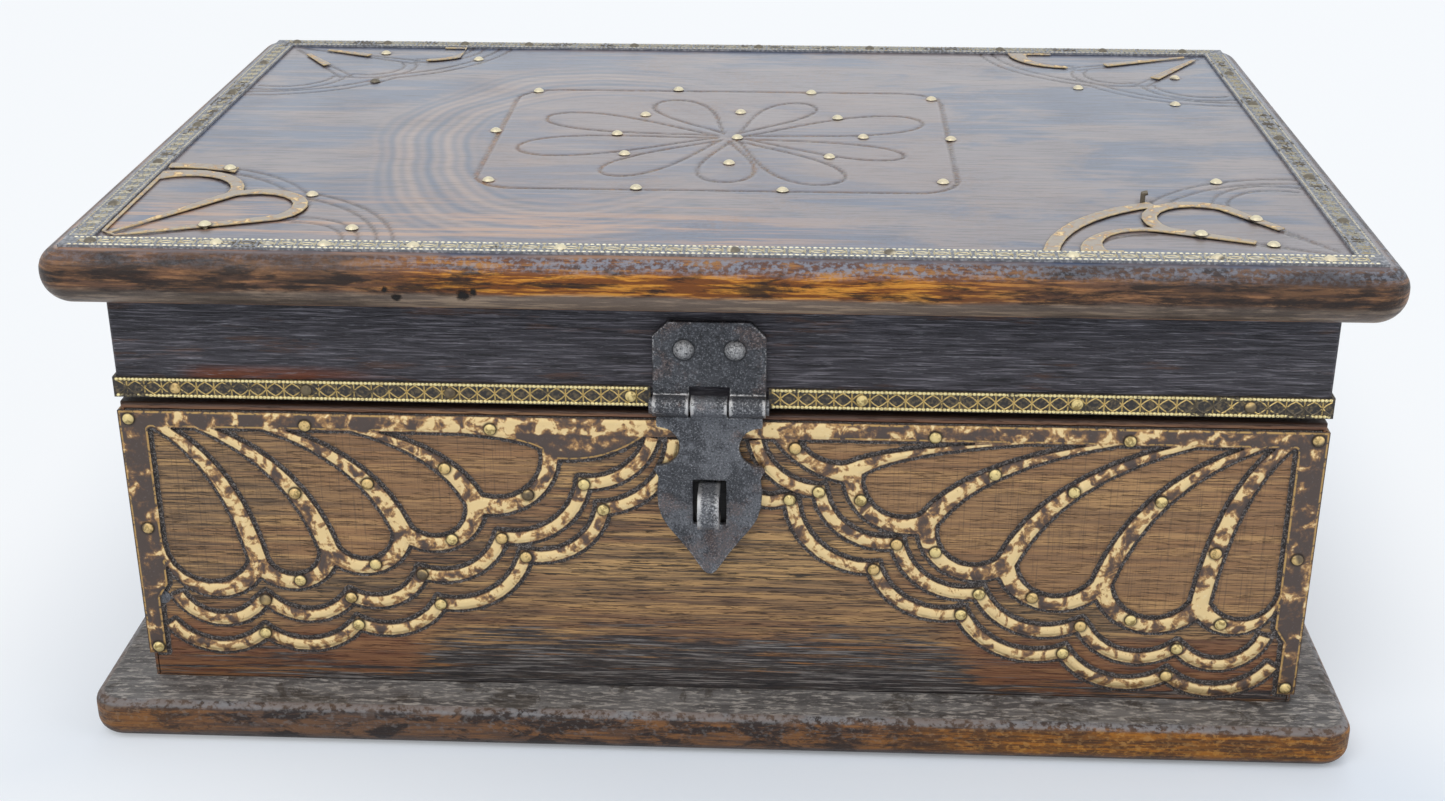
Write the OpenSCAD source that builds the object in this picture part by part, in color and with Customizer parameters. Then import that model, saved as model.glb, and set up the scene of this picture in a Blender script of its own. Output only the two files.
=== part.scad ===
// Brass-mounted wooden jewelry box: a moulded base board, four walls, a hinged lid
// with an overhanging moulded top, pierced brass fans held by pins, and an iron
// hasp whose flap drops over a staple.
// Millimetres. +X to the right, +Y to the back, +Z up. The origin is the middle of
// the base board's underside.

/* [Box] */
// Width of the box walls, outside
box_w = 234; // [200:1:300]
// Depth of the box walls, outside
box_d = 152; // [130:1:220]
// Height of the box walls above the base board
wall_h = 62; // [54:1:90]
// Thickness of the box walls
wall_t = 9; // [7:0.5:12]
// Rounding of the walls' and rails' outer edges along the seam
wall_round = 1; // [0.5:0.1:1.5]
// Radius of the upright corners of the walls and the rails
corner_round = 0.8; // [0.4:0.1:1.5]

/* [Base board] */
// Thickness of the base board
base_t = 9; // [7:0.5:12]
// How far the base board stands out past the walls
base_over = 11; // [9:0.5:16]
// Rounding of the base board's upper edge
base_top_round = 2.4; // [1.5:0.1:3]
// Rounding of the base board's lower edge
base_foot_round = 3.6; // [2:0.1:4]

/* [Lid] */
// Shadow gap between the walls and the lid's rails
seam = 1; // [0.6:0.1:1.5]
// Height of the lid's rails
rim_h = 22; // [20:0.5:30]
// Thickness of the lid's rails
rail_t = 9; // [7:0.5:12]
// Thickness of the lid board
lid_t = 11; // [10.5:0.5:13]
// Rounding of the lid board's upper edge
lid_top_round = 4.5; // [3:0.1:4.5]
// Rounding of the lid board's lower edge
lid_foot_round = 6; // [4:0.1:6]
// How far the lid board stands out past the rails
lid_over = 10; // [9:0.5:14]
// Radius of the boards' corners, seen from above
board_corner = 6.5; // [6.5:0.5:9]

/* [Brass fans] */
// Thickness of the brass sheet
sheet_t = 0.5; // [0.3:0.1:0.8]
// Width of the strip along the top of a fan
fan_strip = 3.6; // [3:0.1:4.5]
// Width of the strip down the corner of the box
corner_strip = 5.2; // [4:0.1:6]
// Width of the corner strip below the petals
corner_tail = 3.2; // [2.6:0.1:4]
// Wood left bare between the walls' top edge and the brass
fan_top_gap = 1.4; // [1.2:0.1:3]
// Width of the two loose scalloped bands
band_w = 2.5; // [2:0.1:3]
// Width of the brass under each petal
ring_w = 2.9; // [2.4:0.1:3.4]
// Width of a rib's foot, where it meets the ring
rib_foot = 3.6; // [3:0.1:4.5]
// Width of a rib at its root, along the top strip
rib_root = 2.5; // [2:0.1:3]
// From the middle of the front to the end of the left fan
left_fan_gap = 6.5; // [5:0.5:12]
// From the middle of the front to the end of the right fan
right_fan_gap = 4; // [3:0.5:12]
// From the base board up to the lowest brass of the left fan
left_fan_foot = 5.5; // [2:0.5:8]
// From the base board up to the lowest brass of the right fan
right_fan_foot = 2; // [1:0.5:8]
// Side leg of the strips that fold round a corner
fold_leg = 6; // [4:0.5:8]

/* [Brass strips and pins] */
// Height of the embossed band on the rails
rim_band_h = 4.2; // [3.5:0.1:6]
// Wood below the embossed band
rim_band_gap = 0.5; // [0.4:0.1:2]
// Width of the strips around the lid board
lid_strip_w = 5; // [4:0.5:8]
// Length of a lid corner fan along the front and back
lid_fan_reach = 57; // [48:1:70]
// Depth of a lid corner fan along the sides
lid_fan_drop = 48; // [42:1:56]
// Half the width of the pinned medallion on the lid
medallion_rx = 50.5; // [40:0.5:56]
// Half the depth of the pinned medallion on the lid
medallion_ry = 38.5; // [30:0.5:44]
// Diameter of a brass pin's domed head
pin_head_d = 2.5; // [2:0.1:3]
// Height of a brass pin's head
pin_head_h = 0.7; // [0.4:0.1:1]
// Diameter of a brass pin's shank
pin_d = 1; // [0.8:0.1:1.4]
// How deep a brass pin is driven into the wood
pin_depth = 5; // [3:0.5:6]

/* [Hasp] */
// Place of the hasp's middle along the front
hasp_x = -1.2; // [-4:0.1:4]
// Width of the hasp
hasp_w = 21.8; // [20:0.1:26]
// Thickness of the hasp's iron
hasp_t = 1.2; // [1:0.1:1.5]
// Outer radius of the rolled knuckles
knuckle_r = 2.1; // [1.9:0.1:2.4]
// Radius of the hinge pins
hinge_pin_r = 1; // [0.8:0.05:1.1]
// Height of the hasp's hinge axis above the rails' lower edge
hasp_axis_rise = 1.6; // [1.2:0.1:2.4]
// Bare wood between the hasp's plate and the lid board
plate_gap = 3.6; // [2:0.1:5]
// Cut corners of the hasp's plate
plate_corner = 3; // [2:0.1:4]
// From the hinge axis to the tip of the flap
flap_len = 36.7; // [34:0.1:42]
// Half the width of the flap's waist
waist = 5.8; // [5:0.1:7]
// Radius of the round side notches
notch_r = 4.1; // [3.5:0.1:4.5]
// From the hinge axis down to the middle of the notches
notch_drop = 8.9; // [8:0.1:10]
// Width of the slot in the flap
slot_w = 6.5; // [6:0.1:8]
// Height of the slot in the flap
slot_h = 9.6; // [9.4:0.1:12]
// From the hinge axis down to the middle of the slot
slot_drop = 20.8; // [20:0.1:23]
// Width of the staple's strip
staple_w = 4.2; // [3:0.1:5]
// Thickness of the staple's strip
staple_t = 1.3; // [1:0.1:1.6]
// Height of the staple's loop, outside
staple_h = 7.9; // [7.4:0.1:8.4]
// How far the staple stands out of the wall
staple_out = 8.3; // [8:0.1:9]
// Diameter of the hasp's rivet heads
rivet_head_d = 4; // [3:0.1:5]
// Distance between the two rivets
rivet_pitch = 9.8; // [8:0.1:12]

/* [Rear hinges] */
// Width of a rear hinge
hinge_w = 27; // [20:0.5:36]
// Height of a hinge leaf above or below the axis
leaf_h = 13; // [11:0.5:16]
// From the middle of a rear hinge to the end of the box
hinge_inset = 42; // [30:1:60]
// Diameter of a hinge nail's head
nail_head_d = 4; // [3:0.1:5]

/* [Fits] */
// Radial clearance of a hinge pin in its knuckles
pin_clear = 0.05; // [0.02:0.01:0.1]
// Gap between neighbouring knuckles
knuckle_gap = 0.35; // [0.3:0.05:0.5]
// Gap between a moving leaf and what it lies over
leaf_clear = 0.4; // [0.3:0.05:0.8]
// Radial clearance of a shank in a punched hole
hole_clear = 0.15; // [0.1:0.05:0.3]
// Gap between neighbouring brass pieces
brass_gap = 0.5; // [0.3:0.1:1]

/* [Hidden] */
$fn = 48;

wood = "saddlebrown";
dark_wood = "#3a302a";
brass = "goldenrod";
iron = "#454a52";

// Levels
wall_top = base_t + wall_h;
rim_bottom = wall_top + seam;
rim_top = rim_bottom + rim_h;
lid_top = rim_top + lid_t;
front_y = -box_d / 2;
back_y = box_d / 2;

// Boards
base_w = box_w + 2 * base_over;
base_d = box_d + 2 * base_over;
lid_w = box_w + 2 * lid_over;
lid_d = box_d + 2 * lid_over;

// Hasp, all measured outwards from the front face
hasp_axis_z = rim_bottom + hasp_axis_rise;
axis_out = knuckle_r + leaf_clear;
flap_back = sheet_t + leaf_clear;
bore_r = hinge_pin_r + pin_clear;
peen_h = 0.6;
peen_r = (bore_r + knuckle_r) / 2;
knuckle_w = (hasp_w - 2 * knuckle_gap) / 3;
swing_gap = knuckle_r + leaf_clear;
plate_top = rim_top - plate_gap;
slot_z = hasp_axis_z - slot_drop;
rivet_z = lerp(hasp_axis_z + swing_gap, plate_top, 0.6);
rivet_d = 2.4;
rivet_depth = 6;

// Rear hinges
rear_axis_z = wall_top + seam / 2;
rear_knuckle_w = (hinge_w - 2 * knuckle_gap) / 3;
hinge_x = box_w / 2 - hinge_inset;
nail_d = 2;
nail_depth = 6;
nail_head_h = 1.1;
nail_places = [-0.34, 0.34];

// Fixing nails in the wood
fix_nail_d = 2.2;
fix_head_d = 3;
fix_head_h = 1;
fix_nail_len = 24;

// Front fans
left_reach = box_w / 2 - left_fan_gap;
right_reach = box_w / 2 - right_fan_gap;
fan_room = wall_h - fan_top_gap;
left_drop = fan_room - left_fan_foot;
right_drop = fan_room - right_fan_foot;
fan_z = wall_top - fan_top_gap;
// Pierced petals of a fan, and how far its scallops bulge as shares of their chords
petals = 5;
bulge = [
    [0.32, 0.26, 0.25, 0.25, 0.21, 0.1],
    [0.29, 0.22, 0.2, 0.19, 0.19, 0.17],
    [0.22, 0.19, 0.18, 0.18, 0.19, 0.18]
];
arc_steps = 9;
foot_in = 3.4;
knot_edge_u = [corner_strip, corner_strip + brass_gap, corner_tail + brass_gap];
knot_edge_v = [fan_strip, fan_strip + brass_gap, fan_strip + brass_gap];

// Strips around the lid board, and the places of the fans inside them
strip_edge_x = lid_w / 2 - lid_top_round;
strip_edge_y = lid_d / 2 - lid_top_round;
lid_inner_x = strip_edge_x - lid_strip_w;
lid_inner_y = strip_edge_y - lid_strip_w;

strip_mid_x = strip_edge_x - lid_strip_w / 2;
strip_mid_y = strip_edge_y - lid_strip_w / 2;

// Embossed bands on the rails
rim_band_z = rim_bottom + rim_band_gap;
rim_band_end = hasp_w / 2 + brass_gap;

// Lid fans: knots of the ring and of the outer band, drawn at a reach of 57 and a drop
// of 48, and how far their scallops bulge
lid_scale = [lid_fan_reach / 57, lid_fan_drop / 48];
lid_ring = [for (p = [[50, 0.3], [34.5, 14.5], [20.5, 30], [0.3, 42]]) on_lid_scale(p)];
lid_band = [for (p = [[57, 0.3], [33, 30.5], [0.3, 48]]) on_lid_scale(p)];
lid_petals = len(lid_ring) - 1;
lid_bulge = [0.22, 0.36, 0.26];
lid_band_bulge = [0.13, 0.14];
lid_ring_w = 3;
lid_rib_w = 2.3;
tip_in = 4;
// Nearest and furthest distance from the corner at which worn brass is left, and how
// much of a width or depth is left or gone
front_right_left = [18, 60];
back_left_rib_left = [11, 24];
back_left_ring_left = [40, 52];
back_right_ribs_left = [6, 29];
back_right_ring_left = [39, 60];
first_rib_gone = 0.84;
band_tail_left = 0.27;
stump_share = [0.8, 0.3];

// Pins of the lid fans that still stand in the wood: sx, sy, u, v, and 1 where a pin
// still holds some sheet
lid_fan_pins = [
    [-1, -1, 34.8, 28.8, 0], [-1, -1, 47.4, 8.4, 0], [-1, -1, 13.8, 44.4, 1], [-1, -1, 19.1, 7.9, 1],
    [1, -1, 13.9, 20.3, 1], [1, -1, 26.1, 10.9, 1], [1, -1, 13.4, 6.6, 0], [1, -1, 16.9, 45.4, 0],
    [-1, 1, 28.7, 34.5, 0], [-1, 1, 25.6, 6.1, 0], [-1, 1, 50.4, 11.5, 0],
    [1, 1, 36, 33.2, 0], [1, 1, 15.2, 47.2, 0], [1, 1, 11.2, 22.6, 0]
];
bent_pin_at = on_lid_scale([34, 31.6]);

// Pins: places along a strip as shares of its half length
bent_pin_h = 1.7;
bent_pin_arm = 0.9;
medallion_at = [-0.3, -2.5];
// The medallion's pins, as shares of its half width and depth: border, ring, middle
medallion_places = [
    [-0.94, 0.97], [-0.28, 1.04], [0.35, 1], [0.91, 0.88], [0.96, 0.01],
    [0.89, -0.81], [0.24, -0.99], [-0.35, -0.98], [-0.96, -0.88], [-1.04, 0.07],
    [-0.4, 0.45], [0.03, 0.53], [0.47, 0.43], [0.58, 0.03],
    [0.43, -0.37], [0.01, -0.51], [-0.44, -0.36], [-0.5, 0.04],
    [0.03, -0.01]
];
rim_pin_left = [-0.9, -0.68, -0.44, -0.14];
rim_pin_right = [0.24, 0.59, 0.87];
front_strip_pins = [-0.98, -0.78, -0.61, -0.47, -0.24, 0.03, 0.27, 0.55, 0.77, 0.94];
side_strip_pins = [-0.72, -0.36, 0, 0.36, 0.72];
strip_pins_x = [for (f = front_strip_pins) f * (strip_mid_x - brass_gap)];
strip_pins_y = [for (f = side_strip_pins) f * strip_mid_y];

// ---------- curves ----------

function lerp(a, b, t) = a + (b - a) * t;

function flip(points) = [for (i = [len(points) - 1:-1:0]) points[i]];

// Every point of a list of lists, in order
function flat(lists) = [for (l = lists, p = l) p];

// Quadratic curve that leaves p nearly level and turns down into q
function sweep_curve(p, q, steps) =
    let (c = [lerp(p[0], q[0], 0.76), lerp(p[1], q[1], 0.28)])
    [for (k = [0:steps]) let (t = k / steps)
        p * (1 - t) * (1 - t) + c * 2 * t * (1 - t) + q * t * t];

function on_lid_scale(p) = [p[0] * lid_scale[0], p[1] * lid_scale[1]];

// Round arc from p to q that stands out by sag, drawn inset towards its centre
function arc(p, q, sag, inset = 0, steps = arc_steps) =
    let (
        chord = norm(q - p),
        along = (q - p) / chord,
        out = [-along[1], along[0]],
        r = (chord * chord / 4 + sag * sag) / (2 * sag),
        centre = (p + q) / 2 + out * (sag - r),
        half = 2 * atan(2 * sag / chord)
    )
    [for (k = [0:steps]) let (a = lerp(-half, half, k / steps))
        centre + (out * cos(a) + along * sin(a)) * (r - inset)];

// ---------- fans ----------
// A fan lies in u, v: u runs from the corner along the top edge, v runs down. Its
// data are its reach and drop, the size and the knots of its hand-cut pattern, and how
// far its ribs spring along the top. Knots are those of the ring and the two loose
// bands, k = 0, 1 and 2: the start at the corner, five cusps, the end at the top strip.
// Last come the pins of the ring and of the ribs: which scallop or rib, and at which of
// its eight steps.

left_fan_data = [left_reach, left_drop, [110.5, 55.1], [
    [[0, 33.6], [24.4, 36.6], [39.9, 33.4], [55.4, 28.6], [70.8, 21.2], [86, 8.9], [103, 0]],
    [[0, 41.6], [25, 43.2], [43, 42.2], [58.2, 36.4], [74.9, 27.7], [91.8, 15.3], [105.8, 0]],
    [[0, 48.6], [24.3, 51], [44.1, 48.5], [61.6, 43.2], [79.6, 31.8], [95.6, 20.7], [110, 0]]
], 0.93, [[1, 4], [2, 4], [3, 4], [4, 4]], [[2, 5], [3, 5], [4, 5]]];
right_fan_data = [right_reach, right_drop, [113, 58.6], [
    [[0, 38.1], [20.6, 41.4], [41, 37.4], [60.6, 32.9], [77, 23.6], [91.9, 12.6], [105.6, 0]],
    [[0, 45.6], [24.2, 49.8], [44.2, 45], [65, 38.1], [82, 27.2], [97.7, 15.9], [110.6, 0]],
    [[0, 52.6], [25.8, 56.2], [47.3, 51.4], [68.4, 42.9], [86.4, 32.9], [103.3, 17.8], [112, 15.5]]
], 0.7, [[0, 6], [1, 5], [2, 5], [3, 6], [4, 6], [5, 6]], [[1, 6], [2, 4], [3, 4], [4, 4]]];

function knots(fan, k) = [for (p = fan[3][k]) [
    max(p[0] * fan[0] / fan[2][0], knot_edge_u[k]),
    max(p[1] * fan[1] / fan[2][1], knot_edge_v[k])
]];

// Outward direction of a run of knots at knot i
function outward(points, i) =
    let (
        a = points[max(0, i - 1)],
        b = points[min(len(points) - 1, i + 1)],
        d = (b - a) / norm(b - a)
    )
    [-d[1], d[0]];

// Stretch i of scallops, drawn inset from its outer edge
function scallop(points, k, i, inset, steps = arc_steps) =
    arc(points[i], points[i + 1], norm(points[i + 1] - points[i]) * bulge[k][i], inset, steps);

// Pin place at knot i of a band
function knot_pin(points, i) = points[i] - outward(points, i) * band_w * 0.55;

// The two places where a rib's foot meets the ring, side = -1 or 1
function foot(points, i, side) =
    let (out = outward(points, i), along = [out[1], -out[0]])
    points[i] - out * foot_in + along * side * rib_foot / 2;

// Where a rib springs from the top strip
function root_u(fan, points, i) =
    let (u = points[i][0])
    max(corner_strip + 1, fan[4] * u * u / points[len(points) - 1][0]);

function root_w(points, i) = rib_root * (1 + points[i][0] / points[len(points) - 1][0]);

function rib_left(fan, points, i) =
    sweep_curve([root_u(fan, points, i), fan_strip], foot(points, i, -1), 8);

function rib_right(fan, points, i) =
    sweep_curve([root_u(fan, points, i) + root_w(points, i), fan_strip], foot(points, i, 1), 8);

// Opening i: a tear drop between two ribs, the strips and the ring
function petal(fan, points, i) =
    let (
        last = len(points) - 2,
        left = i > 0 ? rib_right(fan, points, i)
            : [[corner_strip + 0.4, fan_strip], [corner_strip, fan_strip + 0.4],
                [corner_strip, points[1][1] * 0.8]],
        right = i < last ? rib_left(fan, points, i + 1)
            : [[points[last + 1][0] - ring_w * 1.5, fan_strip]],
        p = left[len(left) - 1],
        q = right[len(right) - 1],
        middle = scallop(points, 0, i, ring_w, 2)[1]
    )
    concat(left, arc(p, q, norm(middle - (p + q) / 2)), flip(right));

// Pin places of one front fan
function fan_pin_places(fan) =
    let (ring = knots(fan, 0), reach = fan[0], drop = fan[1])
    concat(
        [for (k = [1, 2], i = [1:petals]) knot_pin(knots(fan, k), i)],
        [for (p = fan[5]) scallop(ring, 0, p[0], ring_w - pin_d, 8)[p[1]]],
        [for (p = fan[6]) (rib_left(fan, ring, p[0])[p[1]] + rib_right(fan, ring, p[0])[p[1]]) / 2],
        [for (f = [0.33, 0.66]) [reach * f, fan_strip - pin_d]],
        [[corner_tail / 2, fan_strip / 2], [corner_strip / 2, drop * 0.47],
            [corner_tail / 2, drop - corner_tail / 2]]
    );

module pin_holes(places) {
    for (p = places) translate(p) circle(d = pin_d + 2 * hole_clear, $fn = 24);
}

// The pierced sheet: strips, ribs and ring, with its folded edge at u < 0
module fan_sheet(fan, open_petals) {
    ring = knots(fan, 0);
    tail_v = ring[0][1] + corner_strip;
    drop = fan[1];
    outline = concat(
        [[-sheet_t, 0], [fan[0], 0], [fan[0], fan_strip]],
        flip([for (i = [0:petals], p = scallop(ring, 0, i, 0)) p]),
        [[corner_strip, tail_v], [corner_tail, tail_v + corner_tail], [corner_tail, drop],
            [-sheet_t, drop]]
    );
    difference() {
        polygon(outline);
        for (i = [0:open_petals - 1]) polygon(petal(fan, ring, i));
        pin_holes(fan_pin_places(fan));
    }
}

// A loose scalloped band, with a small peak inside each cusp for its pin
module fan_band(fan, k) {
    points = knots(fan, k);
    inner = [for (i = [0:petals]) concat(
        scallop(points, k, i, band_w),
        i < petals ? [points[i + 1] - outward(points, i + 1) * band_w * 1.3] : []
    )];
    difference() {
        polygon(concat(
            [for (i = [0:petals], p = scallop(points, k, i, 0)) p],
            flip(flat(inner))
        ));
        pin_holes([for (i = [1:petals]) knot_pin(points, i)]);
    }
}

// Takes fan places u, v to the front face of the box; side is -1 left, 1 right
module at_front(side, out, t) {
    translate([side * box_w / 2, front_y - out, fan_z]) rotate([90, 0, 0])
        linear_extrude(t) mirror([0, 1]) mirror([side > 0 ? 1 : 0, 0]) children();
}

module front_fan(side, fan, open_petals) {
    color(brass) union() {
        at_front(side, 0, sheet_t) fan_sheet(fan, open_petals);
        translate([side > 0 ? box_w / 2 : -box_w / 2 - sheet_t, front_y, fan_z - fan[1]])
            cube([sheet_t, fold_leg, fan[1]]);
    }
}

module front_band(side, fan, k) {
    color(brass) at_front(side, 0, sheet_t) fan_band(fan, k);
}

// ---------- pins and nails ----------

// Domed head on z = 0, shank down
module pin(head_d, head_h, shank_d, depth) {
    r = (head_d * head_d / 4 + head_h * head_h) / (2 * head_h);
    rotate_extrude($fn = 24) union() {
        intersection() {
            translate([0, head_h - r]) circle(r, $fn = 48);
            square([head_d, head_h]);
        }
        translate([0, -depth]) square([shank_d / 2, depth]);
    }
}

module brass_pin(under) {
    pin(pin_head_d, pin_head_h, pin_d, under + pin_depth);
}

module front_pins(side, places, under) {
    for (p = places)
        translate([side * (box_w / 2 - p[0]), front_y - under, fan_z - p[1]])
            rotate([90, 0, 0]) brass_pin(under);
}

// Nail whose head ends flush at z = 0, shank down
module flush_nail() {
    translate([0, 0, -fix_head_h]) cylinder(h = fix_head_h, d = fix_head_d, $fn = 32);
    translate([0, 0, -fix_nail_len]) cylinder(h = fix_nail_len, d = fix_nail_d, $fn = 24);
}

// ---------- boards and walls ----------

// What a rounding of radius r takes off a square edge; its lower tangent is at y = 0
module rounding_cut(r) {
    difference() {
        translate([0, -1]) square([r + 1, r + 1]);
        translate([0, r]) circle(r);
    }
}

// Edge of a board: x is the way out from the corner's centre, y is up
module board_edge(t, top_r, foot_r) {
    difference() {
        square([board_corner, t]);
        translate([board_corner - foot_r, 0]) rounding_cut(foot_r);
        translate([board_corner - top_r, t]) mirror([0, 1]) rounding_cut(top_r);
    }
}

// Board with a moulded edge all round and rounded corners
module moulded_board(w, d, t, top_r, foot_r) {
    cx = w / 2 - board_corner;
    cy = d / 2 - board_corner;
    translate([-cx, -cy, 0]) cube([2 * cx, 2 * cy, t]);
    for (a = [0, 180]) rotate(a) {
        translate([cx, cy, 0]) rotate([90, 0, 0]) linear_extrude(2 * cy) board_edge(t, top_r, foot_r);
        translate([-cx, cy, 0]) rotate([90, 0, 90]) linear_extrude(2 * cx) board_edge(t, top_r, foot_r);
    }
    for (s = [[1, 1, 0], [-1, 1, 90], [-1, -1, 180], [1, -1, 270]])
        translate([s[0] * cx, s[1] * cy, 0]) rotate(s[2])
            rotate_extrude(angle = 90) board_edge(t, top_r, foot_r);
}

// Section across a wall: outer face at x = 0, wood towards +x, the outer edge at the
// top rounded
module wall_section(t, h) {
    union() {
        square([t, h - wall_round]);
        translate([wall_round, h / 2]) square([t - wall_round, h / 2]);
        translate([wall_round, h - wall_round]) circle(wall_round, $fn = 32);
    }
}

// Plan of a wall that runs the whole width, with its two outer corners rounded
module wall_plan(w, t) {
    union() {
        translate([-w / 2 + corner_round, 0]) square([w - 2 * corner_round, t]);
        translate([-w / 2, corner_round]) square([w, t - corner_round]);
        for (s = [-1, 1])
            translate([s * (w / 2 - corner_round), corner_round]) circle(corner_round, $fn = 32);
    }
}

// Wall along X with its outer face at y = 0, wood towards +y
module long_wall(w, t, h) {
    intersection() {
        translate([-w / 2, 0, 0]) rotate([90, 0, 90]) linear_extrude(w) wall_section(t, h);
        linear_extrude(h) wall_plan(w, t);
    }
}

// Wall along Y between two long walls, outer face at x = 0, wood towards +x
module short_wall(d, t, h) {
    translate([0, d / 2, 0]) rotate([90, 0, 0]) linear_extrude(d) wall_section(t, h);
}

// A rail is a wall upside down, because its rounded edge is at the seam
module long_rail() {
    translate([0, 0, rim_top]) mirror([0, 0, 1]) long_wall(box_w, rail_t, rim_h);
}

module short_rail() {
    translate([0, 0, rim_top]) mirror([0, 0, 1]) short_wall(box_d - 2 * rail_t, rail_t, rim_h);
}

module base_board() {
    color(wood) moulded_board(base_w, base_d, base_t, base_top_round, base_foot_round);
}

module front_wall() {
    color(wood) translate([0, front_y, base_t]) long_wall(box_w, wall_t, wall_h);
}

module back_wall() {
    color(wood) translate([0, back_y, base_t]) rotate(180) long_wall(box_w, wall_t, wall_h);
}

module left_wall() {
    color(wood) translate([-box_w / 2, 0, base_t]) short_wall(box_d - 2 * wall_t, wall_t, wall_h);
}

module right_wall() {
    color(wood) translate([box_w / 2, 0, base_t]) rotate(180)
        short_wall(box_d - 2 * wall_t, wall_t, wall_h);
}

// Nails driven up through the base board into the walls
module base_nails() {
    nx = box_w / 2 - wall_t / 2;
    ny = box_d / 2 - wall_t / 2;
    color(iron) {
        for (x = [-0.7, 0, 0.7], s = [-1, 1]) translate([x * nx, s * ny, 0]) mirror([0, 0, 1]) flush_nail();
        for (y = [-0.45, 0.45], s = [-1, 1]) translate([s * nx, y * ny, 0]) mirror([0, 0, 1]) flush_nail();
    }
}

// Nails through the ends of the long walls into the short ones; the front ones lie
// under the folded brass
module wall_nails() {
    in = min(wall_t / 2, corner_strip - fix_head_d / 2);
    color(iron) for (sx = [-1, 1], sy = [-1, 1], f = [0.3, 0.48, 0.8])
        translate([sx * (box_w / 2 - in), sy * box_d / 2, base_t + f * wall_h])
            rotate([sy < 0 ? 90 : -90, 0, 0]) flush_nail();
}

module lid_board() {
    color(dark_wood) translate([0, 0, rim_top])
        moulded_board(lid_w, lid_d, lid_t, lid_top_round, lid_foot_round);
}

module lid_front_rail() {
    color(dark_wood) translate([0, front_y, 0]) long_rail();
}

module lid_back_rail() {
    color(dark_wood) translate([0, back_y, 0]) rotate(180) long_rail();
}

module lid_left_rail() {
    color(dark_wood) translate([-box_w / 2, 0, 0]) short_rail();
}

module lid_right_rail() {
    color(dark_wood) translate([box_w / 2, 0, 0]) rotate(180) short_rail();
}

// Nails through the ends of the back rail
module rail_nails() {
    color(iron) for (s = [-1, 1], f = [0.3, 0.7])
        translate([s * (box_w / 2 - rail_t / 2), back_y, rim_bottom + f * rim_h])
            rotate([-90, 0, 0]) flush_nail();
}

// ---------- brass on the front ----------

// The left fan's last petal was never pierced
module left_fan() { front_fan(-1, left_fan_data, petals); }

module left_inner_band() { front_band(-1, left_fan_data, 1); }

module left_outer_band() { front_band(-1, left_fan_data, 2); }

module right_fan() { front_fan(1, right_fan_data, petals + 1); }

module right_inner_band() { front_band(1, right_fan_data, 1); }

module right_outer_band() { front_band(1, right_fan_data, 2); }

module fan_pins() {
    color(brass) {
        front_pins(-1, fan_pin_places(left_fan_data), sheet_t);
        front_pins(1, fan_pin_places(right_fan_data), sheet_t);
    }
}

// ---------- brass on the lid ----------

// Band from the hasp to a corner and back along the side, folded in one piece
module rim_band(side) {
    front_len = box_w / 2 - side * hasp_x - rim_band_end + sheet_t;
    color(brass) difference() {
        union() {
            translate([side > 0 ? hasp_x + rim_band_end : -box_w / 2 - sheet_t, front_y - sheet_t, rim_band_z])
                cube([front_len, sheet_t, rim_band_h]);
            translate([side > 0 ? box_w / 2 : -box_w / 2 - sheet_t, front_y - sheet_t, rim_band_z])
                cube([sheet_t, box_d + sheet_t, rim_band_h]);
        }
        rim_pin_places(side) translate([0, 0, -sheet_t])
            cylinder(h = 3 * sheet_t, d = pin_d + 2 * hole_clear, center = true, $fn = 24);
    }
}

// Puts a child, z outwards from the band's face, at each pin of one rim band
module rim_pin_places(side) {
    z = rim_band_z + rim_band_h / 2;
    for (f = side < 0 ? rim_pin_left : rim_pin_right)
        translate([f * box_w / 2, front_y - sheet_t, z]) rotate([90, 0, 0]) children();
    for (f = [-0.8, -0.27, 0.27, 0.8])
        translate([side * (box_w / 2 + sheet_t), f * box_d / 2, z]) rotate([0, side * 90, 0]) children();
}

module rim_band_left() { rim_band(-1); }

module rim_band_right() { rim_band(1); }

module rim_band_pins() {
    color(brass) for (side = [-1, 1]) rim_pin_places(side) brass_pin(sheet_t);
}

// Strip along the front of the lid board, with mitred ends
module lid_strip_shape(half, inner) {
    polygon([[-half, 0], [half, 0], [inner, lid_strip_w], [-inner, lid_strip_w]]);
}

module lid_strip(half, run, pins) {
    color(brass) translate([0, -half, lid_top]) linear_extrude(sheet_t) difference() {
        lid_strip_shape(run, run - lid_strip_w);
        pin_holes([for (x = pins) [x, lid_strip_w / 2]]);
    }
}

module lid_strip_front() { lid_strip(strip_edge_y, strip_edge_x, strip_pins_x); }

module lid_strip_back() { mirror([0, 1, 0]) lid_strip(strip_edge_y, strip_edge_x, strip_pins_x); }

module lid_strip_left() { rotate(-90) lid_strip(strip_edge_x, strip_edge_y - brass_gap / 3, strip_pins_y); }

module lid_strip_right() { rotate(90) lid_strip(strip_edge_x, strip_edge_y - brass_gap / 3, strip_pins_y); }

// ---------- hasp ----------

// Knuckle on the axis at y = 0, z = 0, running along x from 0 to w
module knuckle(w) {
    rotate([90, 0, 90]) cylinder(h = w, r = knuckle_r);
}

module knuckle_bore(w) {
    translate([-1, 0, 0]) rotate([90, 0, 90]) cylinder(h = w + 2, r = bore_r);
}

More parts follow.
